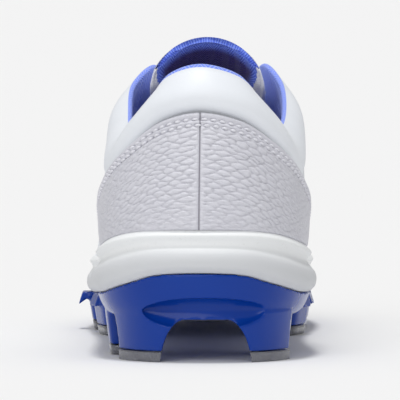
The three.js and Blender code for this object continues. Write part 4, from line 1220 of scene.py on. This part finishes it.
def lace_stops(pair, side, over):
    """Route of one run: places, the way its face looks and its width, from the eyelet to the far edge."""
    row = EYELET_ROWS[0] + (EYELET_ROWS[1] - EYELET_ROWS[0]) * np.array([pair, pair + 1]) / (EYELETS - 1)
    near_u = row / ROWS if side == "lateral" else 1 - row / ROWS
    far_u = 1 - row / ROWS if side == "lateral" else row / ROWS
    eyelet, next_eyelet = near_u
    v = below_top(eyelet, EYELET_INSET)
    hole = upper_point(eyelet, v, 0.2)
    normal = bare_normal(eyelet, v)
    lip_u = eyelet + 0.08 * (next_eyelet - eyelet)
    lip_v = below_top(lip_u, EYELET_INSET - 2.6)
    lip = upper_point(lip_u, lip_v, LACE_REST)
    edge_u = eyelet + 0.25 * (next_eyelet - eyelet)
    edge = upper_point(edge_u, np.array(1.0), LACE_REST)
    far_edge = upper_point(far_u[1], np.array(1.0), 0.0)
    middle_y = (eyelet_place(pair, side)[0][1] + far_edge[1]) / 2
    key = np.array(middle_y / LENGTH)
    ridge = tongue_ridge(key)
    climb = unit(tongue_ridge(key - SLOPE_STEP) - tongue_ridge(key + SLOPE_STEP))
    lift = np.array([0, climb[2], -climb[1]])
    middle = ridge + lift * (LACE_THICK * (1.7 if over else 0.6) + 0.5)
    tuck = far_edge + 0.22 * (middle - far_edge) - lift * 1.6
    edge_normal = bare_normal(edge_u, np.array(1.0))
    return [(hole - 1.5 * normal, normal, HOLE_WIDTH), (hole + 1.2 * normal, normal, HOLE_WIDTH),
            (lip, normal, 0.9), (edge, edge_normal, 1.0), (middle, lift, 1.0), (tuck, lift, 1.0)]


def lace_run(pair, side, over):
    """Band swept along a route: a Catmull-Rom curve through its stops, with a flat oval section."""
    stops = lace_stops(pair, side, over)
    places = np.array([stop[0] for stop in stops])
    looks = np.array([stop[1] for stop in stops])
    widths = np.array([stop[2] for stop in stops])
    padded = np.concatenate([[2 * places[0] - places[1]], places, [2 * places[-1] - places[-2]]])
    t = np.linspace(0, len(places) - 1 - 1e-6, LACE_STEPS)
    k = t.astype(int)
    f = (t - k)[:, None]
    p0, p1, p2, p3 = (padded[k + step] for step in range(4))
    centre = catmull_rom(p0, p1, p2, p3, f)
    forward = unit(np.gradient(centre, axis=0))
    facing = looks[k] * (1 - f) + looks[np.minimum(k + 1, len(looks) - 1)] * f
    up = unit(facing - (facing * forward).sum(-1, keepdims=True) * forward)
    side_way = np.cross(forward, up)
    width = (widths[k] * (1 - f[:, 0]) + widths[np.minimum(k + 1, len(widths) - 1)] * f[:, 0]) * LACE_WIDTH
    angle = np.linspace(0, 2 * np.pi, LACE_SIDES, endpoint=False)
    oval_x = squared(np.cos(angle), LACE_SQUARENESS)
    oval_y = squared(np.sin(angle), LACE_SQUARENESS)
    rings = centre[:, None] + side_way[:, None] * (0.5 * width[:, None] * oval_x)[..., None] \
        + up[:, None] * (0.5 * LACE_THICK * oval_y)[None, :, None]
    travelled = path_length(centre)
    uv = np.stack(np.broadcast_arrays(0.5 * LACE_WIDTH * oval_x[None, :], travelled[:, None]), -1)
    points, faces = prism_shell(list(rings))
    return points, faces, uv.reshape(-1, 2)


# Braided lace: flat polyester, white, with the braid's slanting yarns as a fine herringbone.
braided_lace, tree, shader = new_material("braided_white_lace")
place = add_node(tree, "ShaderNodeUVMap", uv_map="surface").outputs["UV"]
axes = add_node(tree, "ShaderNodeSeparateXYZ", {"Vector": place})
zigzag = math_of(tree, "PINGPONG", axes.outputs["X"], 1.1 * MM)
slanted = math_of(tree, "ADD", axes.outputs["Y"], zigzag)
turns = math_of(tree, "MULTIPLY", slanted, 2 * math.pi / (0.9 * MM))
yarns = math_of(tree, "SINE", turns)
level = spread(tree, yarns, -1.0, 1.0)
tone = blend(tree, level, "#D8DAE0", "#F6F7F9")
finish(tree, shader, tone, level, 0.5, 0.25 * MM, 0.8)

for pair in range(EYELETS - 1):
    first = lace_run(pair, "lateral", pair % 2 == 0)
    second = lace_run(pair, "medial", pair % 2 == 1)
    shift = len(first[0])
    faces = first[1] + [[k + shift for k in face] for face in second[1]]
    lace = make_piece("lace_crossing_" + str(pair + 1), np.concatenate([first[0], second[0]]), faces,
                      [braided_lace], np.concatenate([first[2], second[2]]))
    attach(lace, "root")
    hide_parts("lace_" + str(pair + 1))

# Floor: a plain pale sheet that takes the shoe's soft shadow.
FLOOR_HALF = 30.0
floor_mesh = bpy.data.meshes.new("floor")
floor_corners = [(x * FLOOR_HALF, y * FLOOR_HALF, 0) for x, y in ((-1, -1), (1, -1), (1, 1), (-1, 1))]
floor_mesh.from_pydata(floor_corners, [], [(0, 1, 2, 3)])
floor = bpy.data.objects.new("floor", floor_mesh)
bpy.context.scene.collection.objects.link(floor)
paper, tree, shader = new_material("pale_paper")
shader.inputs["Base Color"].default_value = srgb("#EFEFEF")
shader.inputs["Roughness"].default_value = 0.9
shader.inputs["Specular IOR Level"].default_value = 0.1
floor_mesh.materials.append(paper)

# Light: a pale room, one broad soft light straight above, and a weaker one high behind the camera on
# the left. The room shows white behind the shoe and lights it less than it shows.
ROOM_LIGHT = 0.5
OVERHEAD = 1.3
BEHIND_CAMERA = 0.9
world = bpy.data.worlds.new("pale_room")
bpy.context.scene.world = world
world.use_nodes = True
tree = world.node_tree
seen = add_node(tree, "ShaderNodeLightPath")
strength = add_node(tree, "ShaderNodeMapRange", {"Value": seen.outputs["Is Camera Ray"], "To Min": ROOM_LIGHT,
                                                 "To Max": 0.93})
tree.links.new(strength.outputs["Result"], tree.nodes["Background"].inputs["Strength"])
tree.nodes["Background"].inputs["Color"].default_value = srgb("#FFFFFF")


def soft_light(name, azimuth, elevation, spread, power):
    """Distant round light: its azimuth from the shoe's back, its elevation and its spread are angles."""
    lamp = bpy.data.lights.new(name, "SUN")
    lamp.energy = power
    lamp.angle = math.radians(spread)
    light = bpy.data.objects.new(name, lamp)
    a, e = math.radians(azimuth), math.radians(elevation)
    towards = Vector((math.sin(a) * math.cos(e), -math.cos(a) * math.cos(e), math.sin(e)))
    light.rotation_euler = towards.to_track_quat("Z", "Y").to_euler()
    bpy.context.scene.collection.objects.link(light)


soft_light("overhead", -10, 82, 12, OVERHEAD)
soft_light("behind_camera", -15, 33, 45, BEHIND_CAMERA)

# Camera: behind the heel, a little to the medial side and just above the shoe, with a long lens.
PHOTO_FOCAL = 3124.0  # pixels
CROP = 190.0  # pixels of the photograph that the frame spans
camera_data = bpy.data.cameras.new("camera")
camera_data.sensor_width = 36.0
camera_data.lens = PHOTO_FOCAL / CROP * camera_data.sensor_width
camera_data.clip_end = 60.0
camera = bpy.data.objects.new("camera", camera_data)
camera.location = to_frame([42.6, -2200.0, 144.0])
aim = Vector(to_frame([0.0, 20.0, 54.0])) - Vector(camera.location)
camera.rotation_euler = aim.to_track_quat("-Z", "Y").to_euler()
bpy.context.scene.collection.objects.link(camera)
bpy.context.scene.camera = camera
bpy.context.scene.view_settings.view_transform = "Standard"
